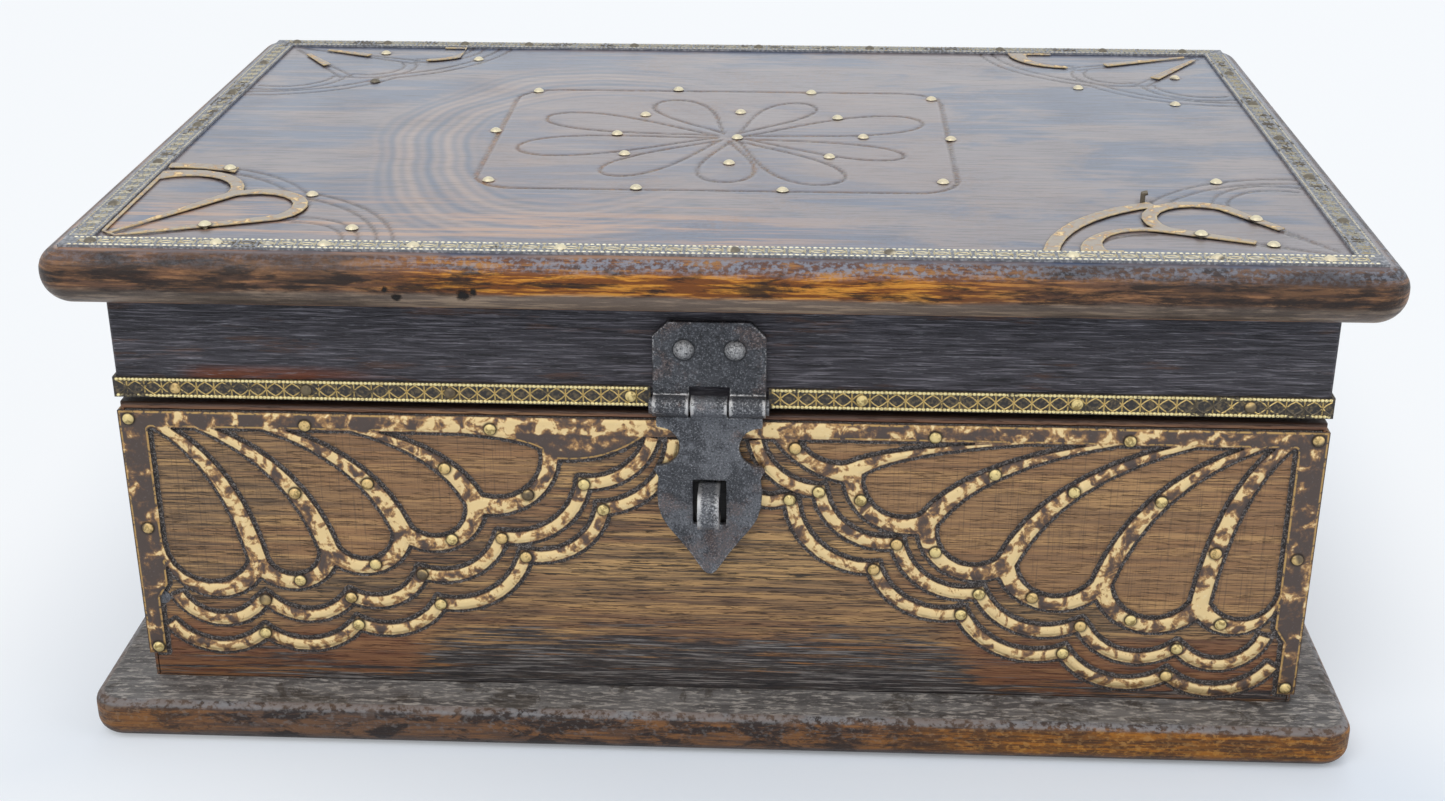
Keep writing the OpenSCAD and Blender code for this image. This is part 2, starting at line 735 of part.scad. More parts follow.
// Plate on the rail with the two outer knuckles rolled at its foot
module hasp_plate() {
    top = plate_top - hasp_axis_z;
    color(iron) translate([hasp_x - hasp_w / 2, front_y - axis_out, hasp_axis_z]) difference() {
        union() {
            translate([0, axis_out, 0]) rotate([90, 0, 0]) linear_extrude(hasp_t) polygon([
                [0, 0], [hasp_w, 0], [hasp_w, top - plate_corner], [hasp_w - plate_corner, top],
                [plate_corner, top], [0, top - plate_corner]
            ]);
            knuckle(knuckle_w);
            translate([hasp_w - knuckle_w, 0, 0]) knuckle(knuckle_w);
        }
        knuckle_bore(hasp_w);
        translate([knuckle_w, -knuckle_r - 1, -knuckle_r - 1])
            cube([hasp_w - 2 * knuckle_w, axis_out + knuckle_r + 2, knuckle_r + 1 + swing_gap + 0.9]);
        for (s = [-1, 1]) translate([hasp_w / 2 + s * rivet_pitch / 2, axis_out, rivet_z - hasp_axis_z])
            rotate([90, 0, 0]) translate([0, 0, -1])
                cylinder(h = hasp_t + 2, d = rivet_d + 2 * hole_clear, $fn = 32);
    }
}

module hasp_rivets() {
    color("#7c8086") for (s = [-1, 1])
        translate([hasp_x + s * rivet_pitch / 2, front_y - hasp_t, rivet_z]) rotate([90, 0, 0])
            pin(rivet_head_d, 1.2, rivet_d, hasp_t + rivet_depth);
}

// Pin along x with its ends peened over the outer knuckles
module peened_pin(w) {
    rotate([90, 0, 90]) cylinder(h = w, r = hinge_pin_r, center = true);
    for (s = [-1, 1]) translate([s * (w + peen_h) / 2, 0, 0])
        rotate([90, 0, 90]) cylinder(h = peen_h, r = peen_r, center = true);
}

module hasp_pin() {
    color(iron) translate([hasp_x, front_y - axis_out, hasp_axis_z]) peened_pin(hasp_w);
}

// Half of the flap's lower outline, from its pointed ear to the tip, x then y down
function shield_half() =
    let (half = hasp_w / 2, ear = notch_drop + notch_r + 0.9)
    [
        [half - 0.6, ear - 0.8], [half, ear], [half - 0.9, ear + 1.6], [half - 0.6, ear + 5],
        [half - 0.8, ear + 8], [half - 1.5, ear + 10.4], [half - 2.8, ear + 12.6],
        [half - 5, flap_len - 7.4], [3.9, flap_len - 4.7], [2.4, flap_len - 2.3],
        [1.3, flap_len - 0.7], [0.5, flap_len]
    ];

module flap_outline() {
    half = hasp_w / 2 - 0.6;
    right = concat([[half, swing_gap], [half, notch_drop - notch_r - 0.5], [half - 2, notch_drop]],
        shield_half());
    difference() {
        polygon(concat(right, [for (p = flip(right)) [-p[0], p[1]]]));
        for (s = [-1, 1]) translate([s * (waist + notch_r), notch_drop]) circle(notch_r);
        translate([-slot_w / 2, slot_drop - slot_h / 2]) square([slot_w, slot_h]);
    }
}

module hasp_flap() {
    mid_w = hasp_w - 2 * knuckle_w - 2 * knuckle_gap;
    color(iron) translate([hasp_x, front_y - axis_out, hasp_axis_z]) difference() {
        union() {
            translate([0, axis_out - flap_back, 0]) rotate([90, 0, 0]) linear_extrude(hasp_t)
                mirror([0, 1]) union() {
                    flap_outline();
                    translate([-mid_w / 2, 0]) square([mid_w, swing_gap + 1]);
                }
            translate([-mid_w / 2, 0, 0]) knuckle(mid_w);
        }
        translate([-mid_w / 2, 0, 0]) knuckle_bore(mid_w);
    }
}

// Flat strip bent into a loop, its legs driven into the front wall
module staple() {
    leg = wall_t - 2;
    out_r = 3;
    in_r = out_r - staple_t;
    color(iron) translate([hasp_x - staple_w / 2, front_y, slot_z]) rotate([90, 0, 90])
        linear_extrude(staple_w) mirror([1, 0]) difference() {
            union() {
                translate([-leg, -staple_h / 2]) square([leg + staple_out - out_r, staple_h]);
                translate([0, -staple_h / 2 + out_r]) square([staple_out, staple_h - 2 * out_r]);
                for (s = [-1, 1])
                    translate([staple_out - out_r, s * (staple_h / 2 - out_r)]) circle(out_r);
            }
            translate([-leg - 1, -staple_h / 2 + staple_t])
                square([leg + 1 + staple_out - out_r, staple_h - 2 * staple_t]);
            translate([0, -staple_h / 2 + out_r])
                square([staple_out - staple_t, staple_h - 2 * out_r]);
            for (s = [-1, 1])
                translate([staple_out - out_r, s * (staple_h / 2 - out_r)]) circle(in_r);
        }
}

// ---------- rear hinges ----------
// Drawn with the axis on x, leaf towards -y (the wall side), then set on the back face

module hinge_at(side) {
    translate([side * hinge_x, back_y + axis_out, rear_axis_z]) children();
}

module leaf_plate() {
    translate([-hinge_w / 2, -axis_out, 0]) cube([hinge_w, hasp_t, leaf_h]);
}

module leaf_holes() {
    for (f = nail_places) translate([f * hinge_w, -axis_out + hasp_t + 1, leaf_h * 0.62])
        rotate([90, 0, 0]) cylinder(h = hasp_t + 2, d = nail_d + 2 * hole_clear, $fn = 24);
}

// Leaf with its outer knuckles, hanging down from the axis
module box_leaf(side) {
    color(iron) hinge_at(side) mirror([0, 0, 1]) difference() {
        union() {
            leaf_plate();
            for (x = [-hinge_w / 2, hinge_w / 2 - rear_knuckle_w]) translate([x, 0, 0])
                knuckle(rear_knuckle_w);
        }
        translate([-hinge_w / 2, 0, 0]) knuckle_bore(hinge_w);
        translate([-hinge_w / 2 + rear_knuckle_w, -axis_out - 1, -knuckle_r - 1])
            cube([hinge_w - 2 * rear_knuckle_w, axis_out + knuckle_r + 2, knuckle_r + 1 + swing_gap]);
        leaf_holes();
    }
}

// Leaf with the middle knuckle, standing up from the axis
module lid_leaf(side) {
    mid_w = hinge_w - 2 * rear_knuckle_w - 2 * knuckle_gap;
    color(iron) hinge_at(side) difference() {
        union() {
            difference() {
                leaf_plate();
                for (s = [-1, 1]) translate([s * (hinge_w + mid_w) / 2 - hinge_w / 2, -axis_out - 1, -1])
                    cube([hinge_w, hasp_t + 2, 1 + swing_gap]);
            }
            translate([-mid_w / 2, 0, 0]) knuckle(mid_w);
        }
        translate([-mid_w / 2, 0, 0]) knuckle_bore(mid_w);
        leaf_holes();
    }
}

module hinge_pin(side) {
    color(iron) hinge_at(side) peened_pin(hinge_w);
}

module leaf_nails(up) {
    color("#7c8086") for (side = [-1, 1], f = nail_places)
        translate([side * hinge_x + f * hinge_w, back_y + hasp_t, rear_axis_z + up * leaf_h * 0.62])
            rotate([-90, 0, 0]) pin(nail_head_d, nail_head_h, nail_d, hasp_t + nail_depth);
}

module left_hinge_box_leaf() { box_leaf(-1); }

module right_hinge_box_leaf() { box_leaf(1); }

module left_hinge_pin() { hinge_pin(-1); }

module right_hinge_pin() { hinge_pin(1); }

module left_hinge_lid_leaf() { lid_leaf(-1); }

module right_hinge_lid_leaf() { lid_leaf(1); }

module hinge_box_nails() { leaf_nails(-1); }

module hinge_lid_nails() { leaf_nails(1); }

// ---------- lid corner fans ----------
// Worn sheets: each corner keeps only some of its three petals and of its outer band.
// Places are u, v from the inner corner of the lid's strips; petals radiate from it.

function lid_arc(points, i, bulge, inset) =
    flip(arc(points[i + 1], points[i], norm(points[i + 1] - points[i]) * bulge[i], inset));

// Edge of rib i from the fan's corner out to the ring, side = -1 towards u, 1 towards v
function lid_rib(i, side) =
    i == 0 ? [[tip_in, side > 0 ? 1 : 0.3], [lid_ring[0][0] - lid_ring_w * 1.6, side > 0 ? 1.2 : 0.3]]
    : i == lid_petals ? [[side < 0 ? 1 : 0.3, tip_in], [side < 0 ? 1.2 : 0.3, lid_ring[i][1] - lid_ring_w * 1.6]]
    : let (
        k = lid_ring[i],
        along = k / norm(k),
        across = [-along[1], along[0]],
        end = k - along * lid_ring_w + across * side * lid_rib_w * 0.6,
        start = along * tip_in + across * side * 0.35,
        belly = (start + end) / 2 + across * side * 0.1
    )
    [for (t = [0:0.25:1]) start * (1 - t) * (1 - t) + belly * 2 * t * (1 - t) + end * t * t];

function lid_opening(i) =
    let (
        from = lid_rib(i, 1),
        to = lid_rib(i + 1, -1),
        p = from[len(from) - 1],
        q = to[len(to) - 1],
        middle = lid_arc(lid_ring, i, lid_bulge, lid_ring_w)[4]
    )
    concat(from, flip(arc(q, p, norm(middle - (p + q) / 2))), flip(to));

// Petals first to last of the sheet, with their ring and ribs
module lid_sheet(first, last) {
    difference() {
        polygon(concat(
            lid_rib(first, -1),
            [for (i = [first:last], p = lid_arc(lid_ring, i, lid_bulge, 0)) p],
            flip(lid_rib(last + 1, 1))
        ));
        for (i = [first:last]) polygon(lid_opening(i));
    }
}

// Scallop i of the outer band
module lid_band_piece(i) {
    polygon(concat(
        lid_arc(lid_band, i, lid_band_bulge, 0),
        flip(lid_arc(lid_band, i, lid_band_bulge, lid_ring_w))
    ));
}

// What is left between two distances from the corner
module worn_between(left) {
    intersection() {
        children();
        difference() {
            circle(left[1] * lid_scale[0]);
            circle(left[0] * lid_scale[0]);
        }
    }
}

module lid_corner(sx, sy) {
    color(brass) translate([sx * lid_inner_x, sy * lid_inner_y, lid_top]) linear_extrude(sheet_t)
        mirror([sx > 0 ? 1 : 0, 0]) mirror([0, sy > 0 ? 1 : 0]) difference() {
            intersection() {
                children();
                translate([1, 1] * brass_gap / 2)
                    square([lid_fan_reach, lid_fan_drop] + [1, 1] * lid_ring_w);
            }
            pin_holes([for (p = lid_fan_pins) if (p[0] == sx && p[1] == sy && p[4] == 1)
                on_lid_scale([p[2], p[3]])]);
        }
}

// Two whole petals and the tail of the band are left
module lid_fan_front_left() {
    lid_corner(-1, -1) union() {
        lid_sheet(1, 2);
        intersection() {
            lid_band_piece(1);
            square([band_tail_left * lid_fan_reach, lid_fan_drop + lid_ring_w]);
        }
    }
}

// The first scallop of the band, and the ring and rib of two petals without their tips
module lid_fan_front_right() {
    lid_corner(1, -1) union() {
        lid_band_piece(0);
        worn_between(front_right_left) difference() {
            lid_sheet(0, 1);
            square([first_rib_gone * lid_ring[0][0], lid_rib_w * 1.5]);
        }
    }
}

// Stumps of a rib and of the ring
module lid_fan_back_left() {
    lid_corner(-1, 1) union() {
        worn_between(back_left_rib_left) lid_sheet(1, 1);
        worn_between(back_left_ring_left) intersection() {
            lid_sheet(0, 1);
            square([stump_share[0] * lid_fan_reach, stump_share[1] * lid_fan_drop]);
        }
    }
}

// Two ribs without their ring, and a piece of the first petal's ring
module lid_fan_back_right() {
    lid_corner(1, 1) union() {
        worn_between(back_right_ribs_left) lid_sheet(1, 1);
        worn_between(back_right_ring_left) lid_sheet(0, 0);
    }
}

module lid_pins() {
    color(brass) translate([0, 0, lid_top + sheet_t]) {
        for (x = strip_pins_x, s = [-1, 1]) translate([x, s * strip_mid_y, 0]) brass_pin(sheet_t);
        for (y = strip_pins_y, s = [-1, 1]) translate([s * strip_mid_x, y, 0]) brass_pin(sheet_t);
    }
    color(brass) for (p = lid_fan_pins) {
        under = p[4] * sheet_t;
        translate([p[0] * (lid_inner_x - p[2] * lid_scale[0]), p[1] * (lid_inner_y - p[3] * lid_scale[1]),
            lid_top + under]) brass_pin(under);
    }
    // One pin of the front right fan has lost its head and stands up bent
    color(iron) translate([lid_inner_x - bent_pin_at[0], bent_pin_at[1] - lid_inner_y, lid_top])
        union() {
            translate([0, 0, -pin_depth]) cylinder(h = pin_depth + bent_pin_h, d = pin_d, $fn = 24);
            translate([0, 0, bent_pin_h]) sphere(d = pin_d, $fn = 24);
            translate([0, 0, bent_pin_h]) rotate([0, 78, 0]) cylinder(h = bent_pin_arm, d = pin_d, $fn = 24);
        }
}

// Pins of the medallion: a border of ten, a ring of eight and one in the middle
module medallion_pins() {
    color(brass) for (p = medallion_places)
        translate([
            medallion_at[0] + p[0] * medallion_rx, medallion_at[1] + p[1] * medallion_ry, lid_top
        ]) brass_pin(0);
}

base_board();
front_wall();
back_wall();
left_wall();
right_wall();
base_nails();
wall_nails();
left_fan();
left_inner_band();
left_outer_band();
right_fan();
right_inner_band();
right_outer_band();
fan_pins();
staple();
left_hinge_box_leaf();
right_hinge_box_leaf();
left_hinge_pin();
right_hinge_pin();
hinge_box_nails();
lid_board();
lid_front_rail();
lid_back_rail();
lid_left_rail();
lid_right_rail();
rail_nails();
lid_strip_front();
lid_strip_back();
lid_strip_left();
lid_strip_right();
lid_fan_front_left();
lid_fan_front_right();
lid_fan_back_left();
lid_fan_back_right();
lid_pins();
medallion_pins();
rim_band_left();
rim_band_right();
rim_band_pins();
hasp_plate();
hasp_rivets();
hasp_pin();
left_hinge_lid_leaf();
right_hinge_lid_leaf();
hinge_lid_nails();
hasp_flap();
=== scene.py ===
"""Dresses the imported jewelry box: old stained hardwood, patinated brass fans and bands held by
pins, and a forged iron hasp, on a pale floor in soft light."""

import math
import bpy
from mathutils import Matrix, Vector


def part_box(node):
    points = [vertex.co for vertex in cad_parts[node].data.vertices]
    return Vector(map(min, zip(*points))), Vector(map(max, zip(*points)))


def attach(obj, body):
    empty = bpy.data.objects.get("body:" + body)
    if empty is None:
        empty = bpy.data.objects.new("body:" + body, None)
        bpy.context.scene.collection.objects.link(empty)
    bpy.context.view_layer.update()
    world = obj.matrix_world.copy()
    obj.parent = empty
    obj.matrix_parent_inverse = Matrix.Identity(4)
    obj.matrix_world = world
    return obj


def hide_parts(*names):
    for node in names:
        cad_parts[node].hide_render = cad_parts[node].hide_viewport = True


bl_info = {
    "name": "Jewelry Box Finish",
    "version": (1, 0, 0),
    "blender": (4, 5, 0),
    "location": "View3D > Sidebar > Jewelry Box",
    "description": "Woods, brass and iron of an old hand-made jewelry box",
    "category": "Add Mesh",
}

import bmesh
import bpy
import numpy as np
from bpy.props import FloatProperty, FloatVectorProperty, PointerProperty
from mathutils import Matrix, Vector, kdtree, noise

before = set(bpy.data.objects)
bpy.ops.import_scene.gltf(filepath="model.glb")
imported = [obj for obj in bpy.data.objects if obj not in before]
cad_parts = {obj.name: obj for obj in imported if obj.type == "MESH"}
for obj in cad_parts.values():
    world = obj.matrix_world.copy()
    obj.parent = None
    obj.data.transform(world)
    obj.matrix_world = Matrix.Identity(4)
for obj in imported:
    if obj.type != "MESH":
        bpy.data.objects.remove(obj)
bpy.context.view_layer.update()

MM = 0.001


# ---------- sizes read from the frame, in millimetres ----------


def box_mm(node):
    """Lowest and highest corner of a CAD node, in millimetres."""
    low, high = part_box(node)
    return low / MM, high / MM


WALL_LOW, WALL_HIGH = box_mm("front_wall")
LID_LOW, LID_HIGH = box_mm("lid_board")
STRIP_LOW, STRIP_HIGH = box_mm("lid_strip_front")
BASE_LOW, BASE_HIGH = box_mm("base_board")
FRONT_Y = WALL_LOW.y
FAN_TOP = box_mm("left_fan")[1].z
BAND_LOW = box_mm("rim_band_left")[0]
HASP_X = sum(corner.x for corner in box_mm("hasp_flap")) / 2
STRIP_WIDTH = STRIP_HIGH.y - STRIP_LOW.y

# Directions that a carved face looks in
FRONT = (0, -1, 0)
UP = (0, 0, 1)
# How far from the brass the front wall still carries its distance to it
NEAR_REACH = 4.0


# ---------- colours ----------


def tone(code):
    """A hex colour as linear red, green, blue and alpha."""
    parts = [int(code[i:i + 2], 16) / 255 for i in (0, 2, 4)]
    return tuple(c / 12.92 if c <= 0.04045 else ((c + 0.055) / 1.055) ** 2.4 for c in parts) + (1,)


def colour_property(name, code, description):
    return FloatVectorProperty(
        name=name, description=description, subtype="COLOR", size=4, min=0, max=1, default=tone(code)
    )


class WoodSettings(bpy.types.PropertyGroup):
    """Colours of the woods."""

    panel: colour_property("Front panel", "9b7850", "Oiled wood of the walls")
    panel_dark: colour_property("Panel grain", "4b3e35", "Dark grain lines of the walls")
    # The dark in the grooves round the brass is set where the grooves are carved, not by this colour.
    stain: colour_property("Stain", "2f2d31", "Charcoal stain and the grime in the grooves")
    rail: colour_property("Rails", "504c52", "Blackened wood of the lid's rails")
    lid: colour_property("Lid", "75686a", "Varnished wood of the lid board")
    amber: colour_property("Worn edge", "b66e22", "Wood rubbed bare on the boards' edges")
    base: colour_property("Base", "777370", "Dusty wood of the base board")


class MetalSettings(bpy.types.PropertyGroup):
    """Colours of the metals."""

    gold: colour_property("Brass", "f2d39a", "Brass where hands have rubbed it")
    patina: colour_property("Patina", "54463f", "Brown film on the brass")
    iron: colour_property("Iron", "696a6e", "Forged iron of the hasp")
    # On the knuckles this colour is partly a painted highlight.
    bare_iron: colour_property("Bare iron", "cbc9c8", "Iron rubbed bright on edges and knuckles")


class CarvingSettings(bpy.types.PropertyGroup):
    """Sizes of the carved lines."""

    groove: FloatProperty(
        name="Groove width", description="Width of the groove round the brass, in mm",
        default=0.8, min=0.3, max=2,
    )
    groove_depth: FloatProperty(
        name="Groove depth", description="Depth of the groove round the brass, in mm",
        default=0.24, min=0, max=0.8,
    )
    line: FloatProperty(
        name="Engraved line", description="Width of the lines engraved in the lid, in mm",
        default=0.7, min=0.3, max=1.5,
    )


class StageSettings(bpy.types.PropertyGroup):
    """Floor, lamps and camera."""

    floor: colour_property("Floor", "e9f0f9", "Pale floor and backdrop")
    lamp: FloatProperty(
        name="Lamp power", description="Power of the key lamp, in watts", default=7.5, min=0,
    )
    world: FloatProperty(name="World strength", description="Light from all round", default=0.55, min=0)
    whiteness: FloatProperty(
        name="White floor", description="How white the floor looks", default=0.86, min=0, max=1,
    )


class BoxSettings(bpy.types.PropertyGroup):
    """All that a user would change."""

    wood: PointerProperty(type=WoodSettings)
    metal: PointerProperty(type=MetalSettings)
    carving: PointerProperty(type=CarvingSettings)
    stage: PointerProperty(type=StageSettings)


def settings():
    return bpy.context.scene.jewelry_box


# ---------- shader maths ----------


class Wire:
    """An output socket that takes part in sums."""

    def __init__(self, finish, socket):
        self.finish = finish
        self.socket = socket

    def math(self, operation, *others):
        values = {i: v for i, v in enumerate((self, *others))}
        return self.finish.node("ShaderNodeMath", {"operation": operation}, values)

    def __add__(self, other):
        return self.math("ADD", other)

    __radd__ = __add__

    def __sub__(self, other):
        return self.math("SUBTRACT", other)

    def __rsub__(self, other):
        return self.finish.node("ShaderNodeMath", {"operation": "SUBTRACT"}, {0: other, 1: self})

    def __mul__(self, other):
        return self.math("MULTIPLY", other)

    __rmul__ = __mul__

    def __truediv__(self, other):
        return self.math("DIVIDE", other)

    def __abs__(self):
        return self.math("ABSOLUTE")

    def lowest(self, other):
        return self.math("MINIMUM", other)

    def highest(self, other):
        return self.math("MAXIMUM", other)

    def above(self, low, high):
        """0 below low, 1 above high, smooth between; low may be the larger."""
        return self.finish.node(
            "ShaderNodeMapRange", {"interpolation_type": "SMOOTHSTEP"},
            {"Value": self, "From Min": low, "From Max": high},
        )


class Finish:
    """A material: one Principled surface and the nodes that feed it."""

    def __init__(self, name, ior=1.5):
        self.material = bpy.data.materials.new(name)
        self.material.use_nodes = True
        self.tree = self.material.node_tree
        self.tree.nodes.clear()
        output = self.tree.nodes.new("ShaderNodeOutputMaterial")
        self.surface = self.tree.nodes.new("ShaderNodeBsdfPrincipled")
        self.surface.inputs["IOR"].default_value = ior
        self.tree.links.new(self.surface.outputs[0], output.inputs[0])

    def node(self, kind, settings=None, inputs=None, out=0):
        """Adds a node: its settings first, then the values or links of its sockets."""
        made = self.tree.nodes.new(kind)
        for key, value in (settings or {}).items():
            setattr(made, key, value)
        for key, value in (inputs or {}).items():
            self.feed(made.inputs[key], value)
        return Wire(self, made.outputs[out])

    def feed(self, socket, value):
        """Links a wire to a socket, or sets it to a hex colour, a number or a vector."""
        if isinstance(value, Wire):
            self.tree.links.new(value.socket, socket)
        elif isinstance(value, str):
            socket.default_value = tone(value)
        elif isinstance(value, (int, float)):
            socket.default_value = value
        else:
            socket.default_value = tuple(value)

    def set(self, **sockets):
        """Feeds sockets of the surface, named with underscores."""
        for key, value in sockets.items():
            self.feed(self.surface.inputs[key.replace("_", " ")], value)
        return self.material

    def at(self, scale, move=(0, 0, 0), turn=(0, 0, 0)):
        """Place on the object in millimetres, scaled, turned and moved."""
        place = self.node("ShaderNodeTexCoord", out=3)
        scales = [scale] * 3 if isinstance(scale, (int, float)) else scale
        return self.node(
            "ShaderNodeMapping", {},
            {0: place, "Location": move, "Rotation": turn, "Scale": [s / MM for s in scales]},
        )

    def axes(self, wanted):
        """The wanted coordinates of the place on the object, in millimetres."""
        place = self.at(1)
        return [self.node("ShaderNodeSeparateXYZ", {}, {0: place}, "XYZ".index(axis)) for axis in wanted]

    def cloud(self, place, detail=3.0, rough=0.5, twist=0.0):
        """Noise from 0 to 1 around a half."""
        return self.node(
            "ShaderNodeTexNoise", {},
            {"Vector": place, "Scale": 1.0, "Detail": detail, "Roughness": rough, "Distortion": twist},
        )

    def mark(self, name):
        """A number that the mesh carries at its points."""
        return self.node("ShaderNodeAttribute", {"attribute_name": name}, out=2)

    def mix(self, first, second, share):
        """Colour from first to second."""
        return self.node("ShaderNodeMix", {"data_type": "RGBA"}, {0: share, 6: first, 7: second}, 2)

    def paint(self, colour, *coats):
        """Lays coats over a colour in turn, each a colour and its share."""
        for coat, share in coats:
            colour = self.mix(colour, coat, share)
        return colour

    def bump(self, height, depth):
        """Normal of a surface that rises by depth millimetres where height is 1."""
        return self.node(
            "ShaderNodeBump", {}, {"Strength": 1.0, "Distance": depth * MM, "Height": height}
        )


# ---------- woods ----------

# Widths of the strips down the corners and along the top of the front fans
CORNER_STRIP = 5.2
TOP_STRIP = 3.6
# Height of the painted shade on the wood seen through the slot of the flap
SLOT_SHADE_Z = 51.7
# Middle of the swirl of growth rings on the lid, and its reach along and across the lid
SWIRL_MIDDLE = (-30, -8)
SWIRL_REACH = (44, 62)
# Pits in the front edge of the lid: place along it, height and size
NOSE_PITS = ((-58.5, 97.6, 1.0), (-46, 98.2, 1.3), (-44.2, 98.9, 0.8), (-60.5, 99.2, 0.6))


def grain_along(finish, along):
    """Coordinates for grain of a given length and thickness that runs along one axis."""
    def grain(length, height, move=(0, 0, 0)):
        scale = [1 / height] * 3
        scale["xyz".index(along)] = 1 / length
        return finish.at(scale, move)
    return grain


def stain_and_top_shade(finish, grain, x, z, colour, fine, streak, dash):
    """Charcoal stain and reddish wood towards the base, a reddish band below the walls' top edge, and
    painted shade along the very top edge, in the seam under the lid.
    """
    wander = finish.cloud(grain(30, 5, (2, 7, 3)), detail=6, rough=0.7) - 0.5
    hair = finish.cloud(grain(22, 0.7, (1, 1, 6)), detail=5, rough=0.65)
    middle = x.above(-66, -52) * x.above(56, 42)
    level = z + wander * 18 - middle * 9
    red = level.above(27, 19) * level.above(7, 12) * (1 - middle * 0.75)
    stained = (level - (hair - 0.4) * 34).above(10.5, 5.5)
    top = WALL_HIGH.z
    colour = finish.paint(
        colour,
        ("7d4426", red * 0.6),
        (settings().wood.stain, stained * 0.92),
        ("141417", stained * dash.above(0.52, 0.44) * 0.8),
        ("9a918a", stained * fine.above(0.51, 0.6) * 0.75),
        ("b0763c", stained * streak.above(0.56, 0.62) * level.above(2, 8) * 0.7),
        ("6b3d26", z.above(top - 2.0, top - 1.0) * 0.6),
        # painted shade: the very top of the wall, in the seam under the lid, painted almost black
        ("2a1a14", z.above(top - 0.8, top - 0.3) * 0.8),
    )
    return colour, stained


def carved_marks(finish, x, z, colour):
    """Saw marks in the petals, darker wood in the grooves round the brass, and painted shade on the wood
    seen through the flap's slot.
    """
    petal = finish.mark("petal")
    saw = finish.cloud(finish.at((2.2, 1, 0.05)), detail=4, rough=0.75)
    cross = finish.cloud(finish.at((0.07, 1, 2.0), turn=(0, 0.06, 0)), detail=4, rough=0.75)
    scratches = saw.above(0.52, 0.62) * 0.34 + cross.above(0.52, 0.62) * 0.24
    ragged = (finish.cloud(finish.at(1.3), detail=5, rough=0.7) - 0.5) * 0.8
    gap = (1 - finish.mark("near")) * NEAR_REACH + ragged
    groove = settings().carving.groove
    # darker colour in the groove round the brass, with lighter specks
    groove_dark = gap.above(groove + 0.1, groove - 0.06)
    speckle = finish.cloud(finish.at(3.2), detail=3, rough=0.7)
    # painted shade: the wood seen through the flap's slot, painted nearly black
    slot = abs(x - HASP_X).above(6.5, 4.2) * abs(z - SLOT_SHADE_Z).above(7.5, 5.2)
    colour = finish.paint(
        colour,
        ("b38355", petal * (x.above(-92, -72) * 0.3 + 0.1)),
        ("40332b", scratches * petal),
        ("3d2418", gap.above(1.7, 0.8) * 0.22),
        (finish.mix("3d3633", "978e88", speckle.above(0.46, 0.66)), groove_dark),
        ("100d0d", slot),
    )
    return colour, groove_dark, speckle


def panel_wood(name, along="x", carved=False):
    """Oiled hardwood with fine grain along one axis, stained dark towards the base."""
    wood = settings().wood
    finish = Finish(name)
    grain = grain_along(finish, along)
    x, z = finish.axes("XZ")
    broad = finish.cloud(grain(60, 12), detail=3, rough=0.5)
    light = finish.cloud(grain(50, 2.4, (5, 5, 5)), detail=5)
    streak = finish.cloud(grain(40, 0.85), detail=7, rough=0.7, twist=0.2)
    fine = finish.cloud(grain(13, 0.3, (3, 1, 2)), detail=5, rough=0.7)
    dash = finish.cloud(grain(6, 0.3, (9, 4, 1)), detail=5, rough=0.7)
    colour = finish.paint(
        wood.panel,
        ("8b6240", broad.above(0.42, 0.62) * 0.8),
        ("cda066", light.above(0.5, 0.62) * 0.75),
        (wood.panel_dark, streak.above(0.49, 0.58) * 0.65),
        ("36302b", fine.above(0.51, 0.58) * 0.66),
        ("dcae74", fine.above(0.46, 0.38) * 0.34),
        ("252120", dash.above(0.55, 0.6) * 0.85),
    )
    colour, stained = stain_and_top_shade(finish, grain, x, z, colour, fine, streak, dash)
    height = fine * 0.7 + streak * 0.6 - dash.above(0.56, 0.61) * 0.6
    rough = 0.4 + fine * 0.2 + stained * 0.1
    if carved:
        colour, groove_dark, speckle = carved_marks(finish, x, z, colour)
        height = height + speckle * groove_dark * 1.2
        rough = rough + groove_dark * 0.2
    return finish.set(Base_Color=colour, Roughness=rough, Normal=finish.bump(height, 0.16))


def rail_wood(name, along="x"):
    """Blackened open-grained wood, worn red near the left end of the lower edge."""
    finish = Finish(name)
    grain = grain_along(finish, along)
    x, z = finish.axes("XZ")
    open_grain = finish.cloud(grain(12, 0.42), detail=7, rough=0.7, twist=0.5)
    hair = finish.cloud(grain(4.5, 0.26, (4, 2, 7)), detail=5, rough=0.7)
    brown = finish.cloud(grain(26, 3, (8, 8, 1)), detail=5, rough=0.65)
    red = x.above(-62, -82) * x.above(-106, -98) * z.above(80, 77.5) * brown.above(0.4, 0.52)
    colour = finish.paint(
        settings().wood.rail,
        ("746e73", open_grain.above(0.5, 0.62) * 0.75),
        ("1a181b", open_grain.above(0.46, 0.38) * 0.9),
        ("73503d", brown.above(0.56, 0.66) * 0.55),
        ("94502f", red * 0.8),
        ("aaa6aa", hair.above(0.58, 0.66) * 0.6),
    )
    height = open_grain.above(0.3, 0.6) + hair * 0.7
    return finish.set(Base_Color=colour, Roughness=0.42 + hair * 0.2, Normal=finish.bump(height, 0.3))


